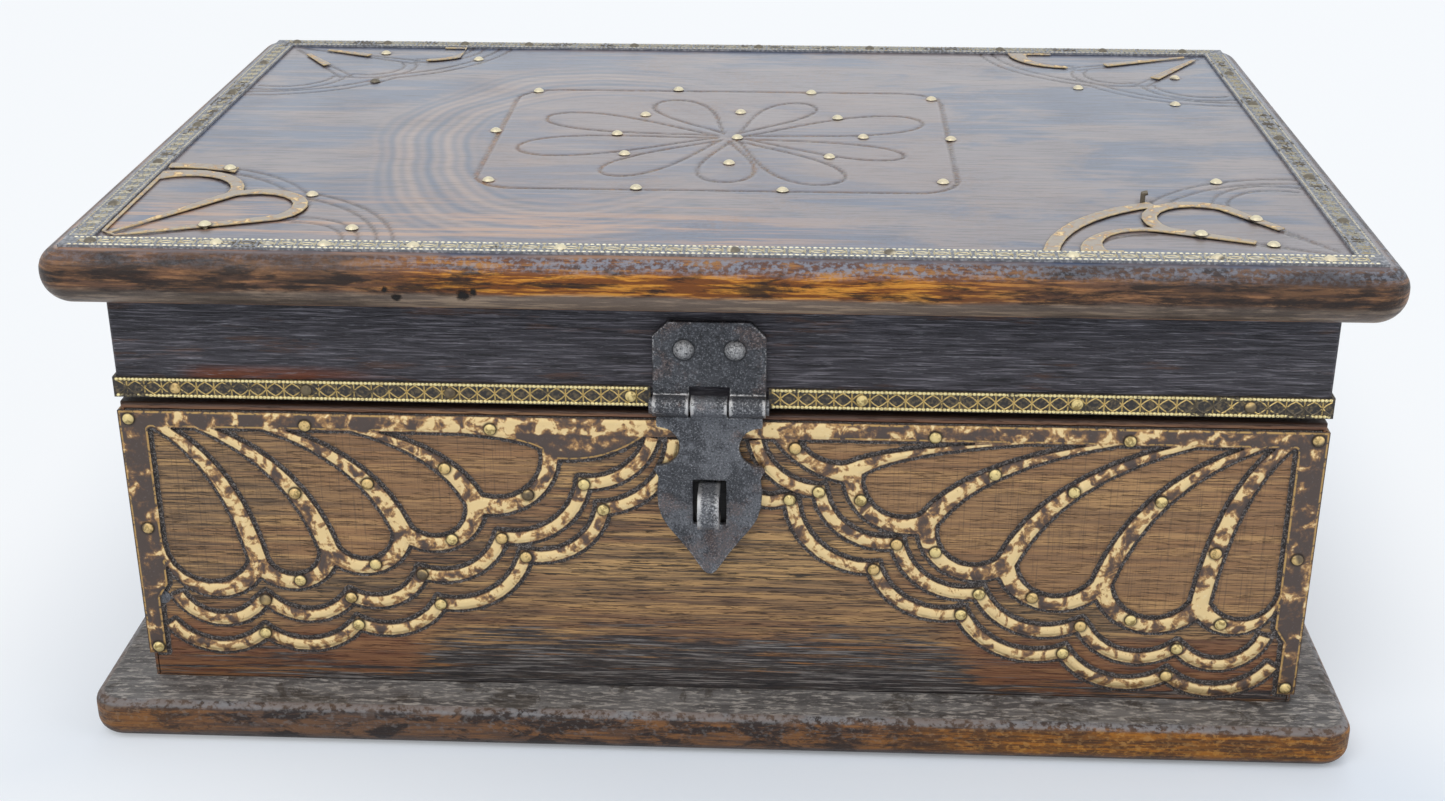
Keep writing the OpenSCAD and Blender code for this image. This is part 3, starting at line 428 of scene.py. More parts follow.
def lid_top_colour(finish, x, y, long_grain, fine):
    """Varnished top: bluish blotches, a swirl of growth rings and bare wood near the front; the blue in the
    blotches and rings is a painted reflection of the sky.
    """
    drift = finish.cloud(finish.at((0.016, 0.022, 0.03)), detail=2, rough=0.4) - 0.5
    u = (x - SWIRL_MIDDLE[0]) / SWIRL_REACH[0]
    v = (y - SWIRL_MIDDLE[1]) / SWIRL_REACH[1]
    radius = (u * u + v * v).math("SQRT") + drift * 0.35
    rings = (radius * 105).math("SINE") * 0.5 + 0.5
    broad_rings = (radius * 31).math("SINE") * 0.5 + 0.5
    zone = radius.above(0.56, 0.7) * radius.above(1.2, 1.0) * x.above(0, -30)
    blotch = finish.cloud(finish.at((0.017, 0.04, 0.1)), detail=5, rough=0.62, twist=0.6)
    bare = y.above(-40, -66) * x.above(35, -10) * long_grain.above(0.46, 0.58)
    return finish.paint(
        settings().wood.lid,
        # bluish blotches: the wood's dark patches, painted bluish as a reflection of the sky
        ("304566", blotch.above(0.44, 0.54) * 0.9),
        ("8f7970", long_grain.above(0.5, 0.6) * 0.5),
        # growth rings, their dark half painted bluish as a reflection of the sky
        (finish.mix("957d72", "293d5c", broad_rings * 0.5 + rings * 0.5), zone),
        ("2b2526", fine.above(0.53, 0.61) * 0.5),
        ("bf8a60", bare * 0.65),
    )


def lid_edge_colour(finish, x, share, mottle, smudge, bumps):
    """Rounded edge: a bluish top with a painted highlight broken up by bumps, a rubbed amber middle and a
    grey-brown foot.
    """
    fibres = finish.cloud(finish.at((0.09, 0.09, 1.6), (1, 5, 3)), detail=5, rough=0.66)
    rub = share + (mottle - 0.5) * 0.22
    bright = x.above(-72, -46) * x.above(80, 32)
    glow = finish.paint(
        "7a451c",
        (settings().wood.amber, fibres.above(0.44, 0.56)),
        ("e09a3c", bright * fibres.above(0.48, 0.6) * 0.8),
    )
    dark = (smudge - abs(rub - 0.6) * 0.35 - bright * 0.02).above(0.4, 0.54)
    # painted highlight: the sky's bluish reflection on the rounded top of the edge, broken up by the bumps
    lip_highlight = rub.above(0.74, 0.9) * (0.5 + bumps.above(0.36, 0.62) * 0.5)
    return finish.paint(
        finish.mix("766558", "a58d76", fibres.above(0.46, 0.6)),
        (glow, rub.above(0.34, 0.46) * (0.55 + bright * 0.45)),
        ("1d1513", dark * rub.above(0.3, 0.42) * 0.9),
        (finish.mix("8b8f9a", "4b4a50", bumps.above(0.6, 0.42)), lip_highlight * (0.4 + x.above(-75, -15) * 0.5)),
        ("2b2320", (1 - bright) * (0.25 + mottle.above(0.42, 0.56) * 0.4)),
        ("b87b45", share.above(0.1, 0.04) * fibres.above(0.4, 0.5) * 0.8),
    )


def nose_pits(x, y, z, bumps):
    """1 in the small pits of the lid's front edge, 0 elsewhere."""
    pits = 0
    for pit_x, pit_z, size in NOSE_PITS:
        reach = ((x - pit_x) * (x - pit_x) + (z - pit_z) * (z - pit_z)).math("SQRT") / size
        pits = (reach + (bumps - 0.5) * 1.6).above(1.15, 0.5) + pits
    return pits.lowest(1) * y.above(-70, -80)


def lid_wood(name, carved=False):
    """Dark varnished board with a mottled, pitted edge; carved adds the engraved lines."""
    finish = Finish(name, ior=1.5 if carved else 1.3)
    x, y, z = finish.axes("XYZ")
    share = (z - LID_LOW.z) / (LID_HIGH.z - LID_LOW.z)
    on_top = share.above(0.97, 1.0)
    long_grain = finish.cloud(finish.at((0.02, 0.28, 1)), detail=6, rough=0.66, twist=0.5)
    fine = finish.cloud(finish.at((0.11, 1.6, 3)), detail=4, rough=0.62)
    mottle = finish.cloud(finish.at((0.06, 0.06, 0.3)), detail=7, rough=0.7)
    smudge = finish.cloud(finish.at((0.07, 0.07, 0.42), (3, 2, 1)), detail=7, rough=0.7, twist=0.3)
    bumps = finish.cloud(finish.at((1.0, 1.0, 1.3)), detail=4, rough=0.62)
    pits = nose_pits(x, y, z, bumps)
    colour = finish.paint(
        lid_edge_colour(finish, x, share, mottle, smudge, bumps),
        ("120d0c", pits),
        (lid_top_colour(finish, x, y, long_grain, fine), on_top),
        (finish.mix("54443b", "33292a", long_grain.above(0.42, 0.58)), share.above(0.02, 0.005)),
    )
    if carved:
        line = finish.mark("line")
        scuff = finish.cloud(finish.at((0.9, 0.9, 1)), detail=3)
        colour = finish.paint(
            colour,
            ("83695d", finish.mark("inside") * 0.25),
            ("120e0c", line * scuff.above(0.34, 0.58) * 0.6),
            ("b3a48e", line * scuff.above(0.56, 0.66) * 0.6),
        )
    edge_height = (bumps * 1.6 + smudge * 1.8 - pits * 3) * (1 - on_top) * (0.6 + share)
    height = fine * 0.35 + long_grain * 0.4 + edge_height
    rough = 0.3 + fine * 0.14 + mottle * 0.1
    return finish.set(
        Base_Color=colour, Roughness=rough, Coat_Weight=0.08 + on_top * 0.92, Coat_Roughness=0.22,
        Normal=finish.bump(height, 0.14),
    )


def base_wood(name):
    """Base board: dusty grey-brown top, mottled edge, painted highlights along the arris and on the bumps
    of the upper edge.
    """
    finish = Finish(name, ior=1.35)
    x, z = finish.axes("XZ")
    share = (z - BASE_LOW.z) / (BASE_HIGH.z - BASE_LOW.z)
    grain = finish.cloud(finish.at((0.04, 0.4, 0.8)), detail=6, rough=0.66, twist=0.4)
    fine = finish.cloud(finish.at((0.3, 1.2, 3)), detail=5, rough=0.7)
    mottle = finish.cloud(finish.at((0.04, 0.04, 0.2)), detail=7, rough=0.7)
    smudge = finish.cloud(finish.at((0.1, 0.1, 0.3), (5, 1, 8)), detail=7, rough=0.74, twist=0.4)
    fibres = finish.cloud(finish.at((0.1, 0.1, 1.5), (1, 5, 3)), detail=5, rough=0.68)
    bumps = finish.cloud(finish.at((0.7, 0.7, 1.0)), detail=5, rough=0.66)
    rub = share + (mottle - 0.5) * 0.4
    ends = (x.above(10, 70) + x.above(-90, -118) * 0.6).lowest(1)
    amber = rub.above(0.12, 0.34) * rub.above(0.96, 0.8) * (0.3 + x.above(-70, -20) * 0.2 + ends * 0.5)
    # painted highlights: pale grey glints on the bumps of the upper edge, fewer at the ends
    worn = bumps.above(0.52, 0.62) * share.above(0.3, 0.6) * (1 - ends * 0.7)
    # painted highlight: a thin pale line along the top arris, broken by the bumps
    arris_highlight = share.above(0.84, 0.92) * share.above(1.0, 0.98) * bumps.above(0.4, 0.54)
    # a pinkish-brown band along the arris, painted as a highlight
    arris = share.above(0.86, 0.95) * share.above(1.0, 0.985) * mottle.above(0.44, 0.54)
    glow = finish.paint(
        "67401d",
        ("a3661f", fibres.above(0.44, 0.56)),
        ("bd8436", ends * bumps.above(0.5, 0.6) * 0.7),
    )
    dust = finish.paint(
        settings().wood.base,
        ("4c4847", grain.above(0.42, 0.58) * 0.8),
        ("bab2a9", fine.above(0.5, 0.6) * 0.7),
        ("33291f", smudge.above(0.54, 0.6) * 0.6),
    )
    colour = finish.paint(
        "504540",
        (glow, amber),
        ("241d1c", smudge.above(0.46, 0.56) * (0.9 - ends * 0.4)),
        ("77726f", worn * 0.45),
        ("3a312e", share.above(0.2, 0.08) * 0.6),
        (dust, share.above(0.975, 0.995)),
        ("9a9899", arris_highlight * 0.6),
        ("7d5f48", arris * 0.35),
    )
    height = fine * 0.7 + grain * 0.5 + bumps * 1.4 + smudge
    return finish.set(Base_Color=colour, Roughness=0.4 + fine * 0.2, Normal=finish.bump(height, 0.2))


# ---------- metals ----------

# Place of a lid pin that was bent over and has gone dark
BENT_PIN = (83.5, -45)


def old_brass(name, wear=0.46, size=3.2, film=None, ground=None, fringe=0.0):
    """Sheet brass: gold patches between a brown film, pale painted highlights on the gold and a painted
    shadow round each pin; film(finish) adds film, fringe bare rims.
    """
    metal = settings().metal
    finish = Finish(name)
    patch = finish.cloud(finish.at(1 / size), detail=3, rough=0.55, twist=0.5)
    small = finish.cloud(finish.at(0.85, (4, 4, 4)), detail=5, rough=0.66)
    grit = finish.cloud(finish.at(2.4), detail=3, rough=0.6)
    inner = finish.mark("inner")
    more = film(finish) if film else 0
    mixed = patch + (small - 0.5) * 0.3 - more
    rim = (inner + (small - 0.5) * 0.4).above(0.04, 0.26)
    rubbed = mixed.above(wear - 0.05, wear + 0.05) * rim
    halo = mixed.above(wear - 0.13, wear)
    gold = finish.paint(
        metal.gold,
        ("bb8b58", mixed.above(wear + 0.08, wear + 0.02) * 0.9),
        # pale cream flecks: painted highlights on the rubbed gold
        ("fbe7ba", small.above(0.54, 0.7) * 0.45),
    )
    brown = finish.paint(
        ground or metal.patina,
        ("8a6444", halo * (0.2 if ground else 0.55)),
        ("756c6a", grit.above(0.6, 0.72) * 0.4),
    )
    if film:
        thin = inner.above(0.1, 0.2) * inner.above(0.6, 0.42) * small.above(0.4, 0.5)
        brown = finish.mix(brown, "cfa460", thin * more.above(0.02, 0.06) * 0.85)
    if fringe:
        ragged = (inner + (grit - 0.5) * 0.5).above(0.5, 0.25) * small.above(0.42, 0.54)
        brown = finish.mix(brown, "d9bd86", ragged * fringe)
    # pin: a painted shadow on the sheet round each pin head
    colour = finish.paint(brown, (gold, rubbed), ("33271f", finish.mark("pin") * 0.85))
    height = small * 0.8 + rubbed * 0.3 + patch * 1.2
    return finish.set(
        Base_Color=colour, Metallic=(0.05 if ground else 0.2) + rubbed * 0.45,
        Roughness=0.5 - rubbed * 0.1, Normal=finish.bump(height, 0.06),
    )


def corner_film(finish):
    """More brown film on the corner strips, the ends of the top strips and the solid petal."""
    x, z = finish.axes("XZ")
    left_edge = WALL_LOW.x + CORNER_STRIP
    right_edge = WALL_HIGH.x - CORNER_STRIP
    top_edge = FAN_TOP - TOP_STRIP
    left = x.above(left_edge + 0.6, left_edge - 0.4)
    right = x.above(right_edge - 0.6, right_edge + 0.4)
    top = z.above(top_edge - 0.2, top_edge + 0.4)
    petal = x.above(-43, -38) * x.above(-12, -16) * z.above(58, 60.5) * (1 - top)
    ends = x.above(-52, -70) * 0.13 + x.above(12, 30) * 0.08
    return left * 0.14 + right * 0.13 + top * ends + petal * 0.14


def band_ground(name, light="6a5c45", dark="35312f", metallic=0.3):
    """Dark ground of an embossed band."""
    finish = Finish(name)
    grit = finish.cloud(finish.at(1.5), detail=4, rough=0.6)
    colour = finish.mix(dark, light, grit.above(0.44, 0.64))
    return finish.set(
        Base_Color=colour, Metallic=metallic, Roughness=0.42 + grit * 0.2, Normal=finish.bump(grit, 0.1)
    )


def embossed_gold(name, wear=0.42, ends=True, pale="f4e2a6", line="cdb274"):
    """Raised lines of a band, gold where rubbed; ends adds film at the ends and the sides."""
    finish = Finish(name)
    patch = finish.cloud(finish.at((0.12, 0.12, 0.3)), detail=4, rough=0.65)
    grit = finish.cloud(finish.at(1.2), detail=3)
    x, y = finish.axes("XY")
    ridge = finish.mark("ridge")
    mixed = patch + (grit - 0.5) * 0.3 + ridge * 0.05
    if ends:
        mixed = mixed - y.above(-70, -60) * 0.1 - x.above(72, 100) * 0.11 - x.above(-99, -108) * 0.12
    rubbed = mixed.above(wear - 0.05, wear + 0.01)
    colour = finish.paint(
        "5a5040",
        (finish.mix(line, pale, ridge), rubbed),
        ("a1874f", grit.above(0.52, 0.64) * rubbed * 0.5),
    )
    return finish.set(
        Base_Color=colour, Metallic=0.25 + rubbed * 0.3, Roughness=0.45, Normal=finish.bump(grit, 0.03)
    )


def pin_brass(name, face=None):
    """Pin heads, some of them dark; face is the y of the tops of heads on the front, whose heads get a
    painted shade towards the wall.
    """
    finish = Finish(name)
    x, y, z = finish.axes("XYZ")
    grit = finish.cloud(finish.at(0.9), detail=4, rough=0.6)
    each = finish.cloud(finish.at(0.1, (2, 2, 2)), detail=0)
    above_lid = z.above(100, 101)
    edges = (y.above(74, 76) + x.above(116, 118) + x.above(-118, -119.5)).lowest(1)
    bent = abs(x - BENT_PIN[0]).above(3, 2) * abs(y - BENT_PIN[1]).above(3, 2)
    band = z.above(BAND_LOW.z, BAND_LOW.z + 0.5) * z.above(80, 79) * x.above(-98, -94) * x.above(-36, -40)
    film = (above_lid * edges).highest(above_lid * bent).highest(each.above(0.33, 0.29)).highest(band)
    colour = finish.paint(
        "e2c081",
        ("ecd694", each.above(0.4, 0.6) * 0.8),
        ("8d7543", grit.above(0.5, 0.62) * 0.8),
        ("e6dfc9", above_lid * 0.7),
        ("4a423b", film * 0.85),
    )
    # painted shade on the front heads, darker towards the wall behind them
    if face is not None:
        colour = finish.mix(colour, "2f251d", y.above(face + 0.42, face + 0.6) * 0.9)
    return finish.set(Base_Color=colour, Metallic=0.4, Roughness=0.5, Normal=finish.bump(grit, 0.14))


def forged_iron(name, bright=0.0, knuckles=False, dark=0.0):
    """Blue-grey iron with rust specks, rubbed bright along its edges."""
    metal = settings().metal
    finish = Finish(name)
    blotch = finish.cloud(finish.at(0.2), detail=6, rough=0.7)
    rust = finish.cloud(finish.at(0.12, (7, 3, 2)), detail=6, rough=0.7)
    grit = finish.cloud(finish.at(2.7), detail=4, rough=0.75)
    rub = finish.mark("worn") * (0.25 + blotch.above(0.56, 0.44) * 0.45) + (grit - 0.5) * 1.4 + bright
    if knuckles:
        (z,) = finish.axes("Z")
        # knuckles: the rolled knuckles painted brighter, partly worn iron and partly a painted highlight
        rub = rub + z.above(72.0, 73.2) * z.above(76.2, 75.2) * 0.56
    rub = rub.above(0.55, 1.0)
    colour = finish.paint(
        metal.iron,
        ("35363b", dark),
        ("3b3c40", blotch.above(0.46, 0.58) * 0.8),
        ("6a4c3c", rust.above(0.52, 0.62) * grit.above(0.42, 0.58) * 0.7),
        ("adaeb2", grit.above(0.53, 0.64) * 0.5),
        ("1c1b1d", grit.above(0.44, 0.37) * 0.8),
        (metal.bare_iron, rub * 0.85),
        # ring: a painted shadow round each rivet head on the plate
        ("121316", finish.mark("ring") * 0.75),
    )
    return finish.set(
        Base_Color=colour, Metallic=0.45 + rub * 0.35, Roughness=0.45 - rub * 0.12 + grit * 0.12,
        Normal=finish.bump(grit * 0.9 + blotch, 0.2),
    )


# ---------- working on pieces ----------


def pick(piece):
    """Deselects everything but one piece and makes it active."""
    bpy.ops.object.select_all(action="DESELECT")
    piece.select_set(True)
    bpy.context.view_layer.objects.active = piece


def edit(piece, select="SELECT"):
    pick(piece)
    bpy.ops.object.mode_set(mode="EDIT")
    bpy.ops.mesh.select_all(action=select)


def leave():
    bpy.ops.object.mode_set(mode="OBJECT")


def apply(piece, kind, **values):
    """Adds a modifier and applies it."""
    pick(piece)
    modifier = piece.modifiers.new(kind.title(), kind)
    for key, value in values.items():
        setattr(modifier, key, value)
    bpy.ops.object.modifier_apply(modifier=modifier.name)


def take(node, name):
    """A merged copy of a CAD node, as the start of a piece."""
    piece = bpy.data.objects.new(name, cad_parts[node].data.copy())
    bpy.context.collection.objects.link(piece)
    piece.data.materials.clear()
    edit(piece)
    bpy.ops.mesh.remove_doubles(threshold=1e-6)
    bpy.ops.mesh.dissolve_limited(angle_limit=math.radians(0.2))
    leave()
    pick(piece)
    bpy.ops.mesh.customdata_custom_splitnormals_clear()
    return piece


def read(piece, what):
    """One vector for each point of the mesh."""
    values = np.empty(len(piece.data.vertices) * 3, np.float32)
    piece.data.vertices.foreach_get(what, values)
    return values.reshape(-1, 3)


def places(piece):
    """The mesh's points in millimetres."""
    return read(piece, "co").astype(float) / MM


def move_to(piece, points):
    piece.data.vertices.foreach_set("co", (points * MM).astype(np.float32).ravel())
    piece.data.update()


def normals(piece):
    return read(piece, "normal")


def carry(piece, name, values):
    """Stores a number at each point of the mesh."""
    layer = piece.data.attributes.new(name, "FLOAT", "POINT")
    layer.data.foreach_set("value", np.asarray(values, np.float32))


def smoothstep(low, high, value):
    t = np.clip((value - low) / (high - low), 0, 1)
    return t * t * (3 - 2 * t)


def edge_runs(piece, wanted):
    """The ends, in millimetres, of the edges for which wanted(edge) is true."""
    mesh = bmesh.new()
    mesh.from_mesh(piece.data)
    runs = [[tuple(end.co / MM) for end in edge.verts] for edge in mesh.edges if wanted(edge)]
    mesh.free()
    return np.array(runs, float).reshape(-1, 2, 3)


def rim_runs(piece, facing):
    """Edges where the faces that look along facing end."""
    facing = Vector(facing)

    def at_rim(edge):
        return sum(face.normal.dot(facing) > 0.9 for face in edge.link_faces) == 1

    return edge_runs(piece, at_rim)


def crease_runs(piece, angle=30):
    limit = math.radians(angle)
    return edge_runs(piece, lambda edge: len(edge.link_faces) == 2 and edge.calc_face_angle(0) > limit)


def sampled(runs, step=0.12):
    """Points along runs of edges, no further apart than step."""
    points = []
    for a, b in runs:
        count = max(1, int(math.ceil(np.linalg.norm(b - a) / step)))
        points.extend(a + (b - a) * k / count for k in range(count + 1))
    return np.array(points)


def distance_to(points, targets, flat=None):
    """Distance from each point to the nearest target; flat drops one axis."""
    points, targets = points.copy(), targets.copy()
    if flat is not None:
        points[:, flat] = 0
        targets[:, flat] = 0
    tree = kdtree.KDTree(len(targets))
    for i, target in enumerate(targets):
        tree.insert(target, i)
    tree.balance()
    return np.array([tree.find(p)[2] for p in points])


def rough_field(points, size, seed=0.0):
    """Smooth noise from about -1 to 1 at each point."""
    return np.array([noise.noise(Vector(p) / size + Vector((seed, seed * 2, seed * 3))) for p in points])


def joined_points(start, left):
    """The points that edges join to start, taken out of those left."""
    seen, waiting = set(), [start]
    while waiting:
        point = waiting.pop()
        seen.add(point)
        beside = {edge.other_vert(point) for edge in point.link_edges} & left
        left -= beside
        waiting.extend(beside)
    return seen


def pin_places(*nodes):
    """The middle of each pin of some CAD nodes, in millimetres."""
    middles = []
    for node in nodes:
        mesh = bmesh.new()
        mesh.from_mesh(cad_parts[node].data)
        bmesh.ops.remove_doubles(mesh, verts=mesh.verts, dist=1e-6)
        left = set(mesh.verts)
        while left:
            pin = joined_points(left.pop(), left)
            points = np.array([point.co for point in pin]) / MM
            middles.append((points.min(0) + points.max(0)) / 2)
        mesh.free()
    return np.array(middles)


def hand_in(piece, body, slot, material, *nodes):
    """Gives a finished piece its material, its body and the nodes it stands for; slot is not used."""
    piece.data.materials.clear()
    piece.data.materials.append(material)
    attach(piece, body)
    if nodes:
        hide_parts(*nodes)


def dress(material, *nodes):
    """Puts a material on CAD nodes."""
    for node in nodes:
        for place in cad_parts[node].material_slots:
            place.material = material


def smooth(piece, angle=40):
    pick(piece)
    bpy.ops.object.shade_smooth_by_angle(angle=math.radians(angle))


def slab(name, low, high, cell, facing):
    """A closed slab whose outer face is a fine grid; facing is FRONT or UP."""
    size = high - low
    centre = (low + high) / 2
    wide, tall = (size.x, size.z) if facing == FRONT else (size.x, size.y)
    bpy.ops.object.select_all(action="DESELECT")
    bpy.ops.mesh.primitive_grid_add(
        x_subdivisions=round(wide / cell), y_subdivisions=round(tall / cell), size=1,
        location=(0, 0, 0),
    )
    piece = bpy.context.object
    piece.name = piece.data.name = name
    bpy.ops.object.mode_set(mode="EDIT")
    bpy.ops.transform.resize(value=(wide * MM, tall * MM, 1), center_override=(0, 0, 0))
    if facing == FRONT:
        bpy.ops.transform.rotate(value=math.radians(-90), orient_axis="X", center_override=(0, 0, 0))
    leave()
    points = places(piece) + np.array(centre)
    if facing == FRONT:
        points[:, 1] = low.y
    else:
        points[:, 2] = high.z
    move_to(piece, points)
    edit(piece)
    bpy.ops.mesh.normals_make_consistent(inside=False)
    bpy.ops.mesh.select_all(action="DESELECT")
    bpy.ops.mesh.select_mode(type="EDGE")
    bpy.ops.mesh.select_non_manifold()
    back = (0, size.y * MM, 0) if facing == FRONT else (0, 0, -size.z * MM)
    bpy.ops.mesh.extrude_edges_move(TRANSFORM_OT_translate={"value": back})
    bpy.ops.mesh.edge_face_add()
    bpy.ops.mesh.select_mode(type="VERT")
    bpy.ops.mesh.select_all(action="SELECT")
    bpy.ops.mesh.normals_make_consistent(inside=False)
    leave()
    return piece


def sink_face(piece, facing, margin, depth):
    """Sinks the broad face that looks along facing, leaving a margin round it."""
    edit(piece, "DESELECT")
    bpy.ops.mesh.select_mode(type="FACE")
    mesh = bmesh.from_edit_mesh(piece.data)
    direction = Vector(facing)
    faces = [face for face in mesh.faces if face.normal.dot(direction) > 0.999]
    broad = max(faces, key=lambda face: face.calc_area())
    broad.select = True
    bmesh.update_edit_mesh(piece.data)
    bpy.ops.mesh.inset(thickness=margin * MM, depth=-depth * MM)
    leave()


# ---------- walls ----------

# The front wall's face is a slab of its own, let into the wall inside its rounded edges
SEAT_MARGIN = 0.25
SEAT_DEPTH = 1.0
CORNER_ROUND = 0.8
TOP_ROUND = 1.0
BRASS_ON_FRONT = (
    "left_fan", "left_inner_band", "left_outer_band",
    "right_fan", "right_inner_band", "right_outer_band",
)


def inside_loops(points, loops):
    """Which points (x, z) lie in any of the closed loops."""
    hit = np.zeros(len(points), bool)
    for loop in loops:
        low, high = loop.min(0), loop.max(0)
        near = np.where(((points > low) & (points < high)).all(1))[0]
        if not len(near):
            continue
        px, pz = points[near, 0], points[near, 1]
        odd = np.zeros(len(near), bool)
        for (ax, az), (bx, bz) in zip(loop, np.roll(loop, -1, 0)):
            crosses = (az > pz) != (bz > pz)
            with np.errstate(divide="ignore", invalid="ignore"):
                odd ^= crosses & (px < (bx - ax) * (pz - az) / (bz - az) + ax)
        hit[near] |= odd
    return hit


def closed_loops(runs):
    """Chains edge runs, seen from the front, into closed loops of x and z."""
    def key(p):
        return round(p[0], 3), round(p[2], 3)

    beside = {}
    for a, b in runs:
        beside.setdefault(key(a), []).append(key(b))
        beside.setdefault(key(b), []).append(key(a))
    loops = []
    while beside:
        here = next(iter(beside))
        loop = []
        while here in beside:
            loop.append(here)
            following = [p for p in beside.pop(here) if p in beside]
            if not following:
                break
            here = following[0]
        loops.append(np.array(loop))
    return loops


def brass_outlines():
    """The rims of the brass on the front, and the loops round the openings in it."""
    rims, openings = [], []
    for node in BRASS_ON_FRONT:
        brass = take(node, "outline")
        rim = rim_runs(brass, FRONT)
        rim[:, :, 1] = 0
        rims.append(rim)
        loops = sorted(closed_loops(rim), key=lambda loop: -np.ptp(loop[:, 0]) * np.ptp(loop[:, 1]))
        openings += [loop for loop in loops[1:] if np.ptp(loop[:, 0]) > 3]
        bpy.data.objects.remove(brass)
    return np.concatenate(rims), openings


def carve_front(face, low, high):
    """Cuts the groove round the brass, and marks the wood near the brass and in its openings."""
    carving = settings().carving
    rims, openings = brass_outlines()
    points = places(face)
    outer = points[:, 1] < FRONT_Y + SEAT_DEPTH / 2
    gap = np.full(len(points), 99.0)
    gap[outer] = distance_to(points[outer], sampled(rims), flat=1)
    carry(face, "near", np.clip(1 - gap / NEAR_REACH, 0, 1))
    petal = np.zeros(len(points))
    petal[outer] = inside_loops(points[outer][:, [0, 2]], openings)
    carry(face, "petal", petal)
    x, z = points[:, 0], points[:, 2]
    border = np.minimum.reduce([x - low.x, high.x - x, z - low.z, high.z - z])
    wobble = rough_field(points * [1, 0, 1], 2.2) * 0.16
    depth = carving.groove_depth * smoothstep(carving.groove + 0.25, carving.groove - 0.2, gap + wobble)
    points[:, 1] += np.where(outer, depth * smoothstep(0.2, 1.0, border), 0)
    move_to(face, points)


class JEWELRYBOX_OT_walls(bpy.types.Operator):
    """Front wall with its carved face, and the other walls"""

    bl_idname = "jewelry_box.walls"
    bl_label = "Walls"

    def execute(self, context):
        plain = panel_wood("panel_wood")
        wall = take("front_wall", "front_board")
        sink_face(wall, FRONT, SEAT_MARGIN, SEAT_DEPTH)
        smooth(wall)
        hand_in(wall, "box", "wall_wood", plain, "front_wall")

        inset = SEAT_MARGIN + 0.01
        side = CORNER_ROUND + inset
        low = Vector((WALL_LOW.x + side, FRONT_Y, WALL_LOW.z + inset))
        high = Vector((WALL_HIGH.x - side, FRONT_Y + SEAT_DEPTH - 0.02, WALL_HIGH.z - TOP_ROUND - inset))
        face = slab("front_face", low, high, 0.46, FRONT)
        carve_front(face, low, high)
        smooth(face, 60)
        hand_in(face, "box", "wall_wood", panel_wood("carved_panel_wood", carved=True))

        dress(plain, "back_wall")
        dress(panel_wood("side_panel_wood", along="y"), "left_wall", "right_wall")
        dress(forged_iron("nail_iron"), "wall_nails", "base_nails", "rail_nails")
        return {"FINISHED"}


class JEWELRYBOX_OT_base(bpy.types.Operator):
    """Base board"""

    bl_idname = "jewelry_box.base"
    bl_label = "Base board"

    def execute(self, context):
        dress(base_wood("base_wood"), "base_board")
        return {"FINISHED"}


# ---------- brass on the front ----------


def fine_sheet(node, facing, cell, pins):
    """A brass sheet in fine faces, its points, and their distances to its rim and to the pins."""
    flat = 1 if facing == FRONT else 2
    sheet = take(node, node + "_sheet")
    rim = sampled(rim_runs(sheet, facing))
    apply(sheet, "REMESH", mode="VOXEL", voxel_size=cell * MM, use_smooth_shade=True)
    points = places(sheet)
    return sheet, points, distance_to(points, rim, flat), distance_to(points, pins, flat)


class JEWELRYBOX_OT_front_brass(bpy.types.Operator):
    """Fans and bands of thin brass, their edges dished into the grooves"""

    bl_idname = "jewelry_box.front_brass"
    bl_label = "Front brass"

    def execute(self, context):
        fan_material = old_brass("fan_brass", wear=0.47, film=corner_film)
        band_material = old_brass("band_brass", wear=0.45)
        pins = pin_places("fan_pins")
        for node in BRASS_ON_FRONT:
            sheet, points, inner, to_pin = fine_sheet(node, FRONT, 0.25, pins)
            front = smoothstep(0.3, 0.8, -normals(sheet)[:, 1])
            on_side = points[:, 1] > FRONT_Y + 0.6
            dish = 0.24 * smoothstep(0.9, 0.1, inner)
            hammer = 0.07 * rough_field(points * [1, 0, 1], 2.4, 3.0)
            points[:, 1] += np.where(on_side, 0, front * (dish + np.maximum(hammer, -0.02)))
            move_to(sheet, points)
            carry(sheet, "inner", np.where(on_side, 0.5, inner))
            # where the sheet gets a painted shadow round each pin head
            carry(sheet, "pin", smoothstep(1.8, 1.2, to_pin))
            material = fan_material if node.endswith("fan") else band_material
            hand_in(sheet, "box", "fan_brass", material, node)
        return {"FINISHED"}


# ---------- lid ----------

# The lid's face is a slab too, let into the board under the strips
LID_SEAT_MARGIN = 4.2
LID_SEAT_DEPTH = 1.2
# Where the medallion's petals meet
MEDALLION = np.array([-0.3, -2.5])
# Middle of the medallion's border, half its width, half its depth and its corners' radius
BORDER = ((-2.1, -2.5), 49.8, 38.8, 9)
# Angle, reach and width of each engraved petal, in degrees and millimetres
PETALS = (
    (193, 47, 17), (229, 38, 13), (270, 33, 14), (304, 40, 16),
    (340, 40, 12), (19, 45, 17), (60, 33, 13), (118, 34, 14), (160, 45, 15),
)
# Knots of a corner fan's ring and outer band, from the strips' inner corner
RING = ((50, 0.3), (34.5, 14.5), (20.5, 30), (0.3, 42))
RING_BULGE = (0.22, 0.36, 0.26)
BAND = ((57, 0.3), (33, 30.5), (0.3, 48))
BAND_BULGE = (0.13, 0.14)


def petal_outline(angle, reach, width):
    """A tear drop whose point is near the medallion's middle."""
    a = math.radians(angle)
    turn = np.array([[math.cos(a), -math.sin(a)], [math.sin(a), math.cos(a)]])
    t = np.linspace(0, 2 * math.pi, 48, endpoint=False)
    along = 0.5 - 0.5 * np.cos(t)
    across = np.sin(t) * along ** 0.8
    shape = np.stack([3 + (reach - 3) * along, width / 2 * across * 1.25], 1)
    return shape @ turn.T + MEDALLION


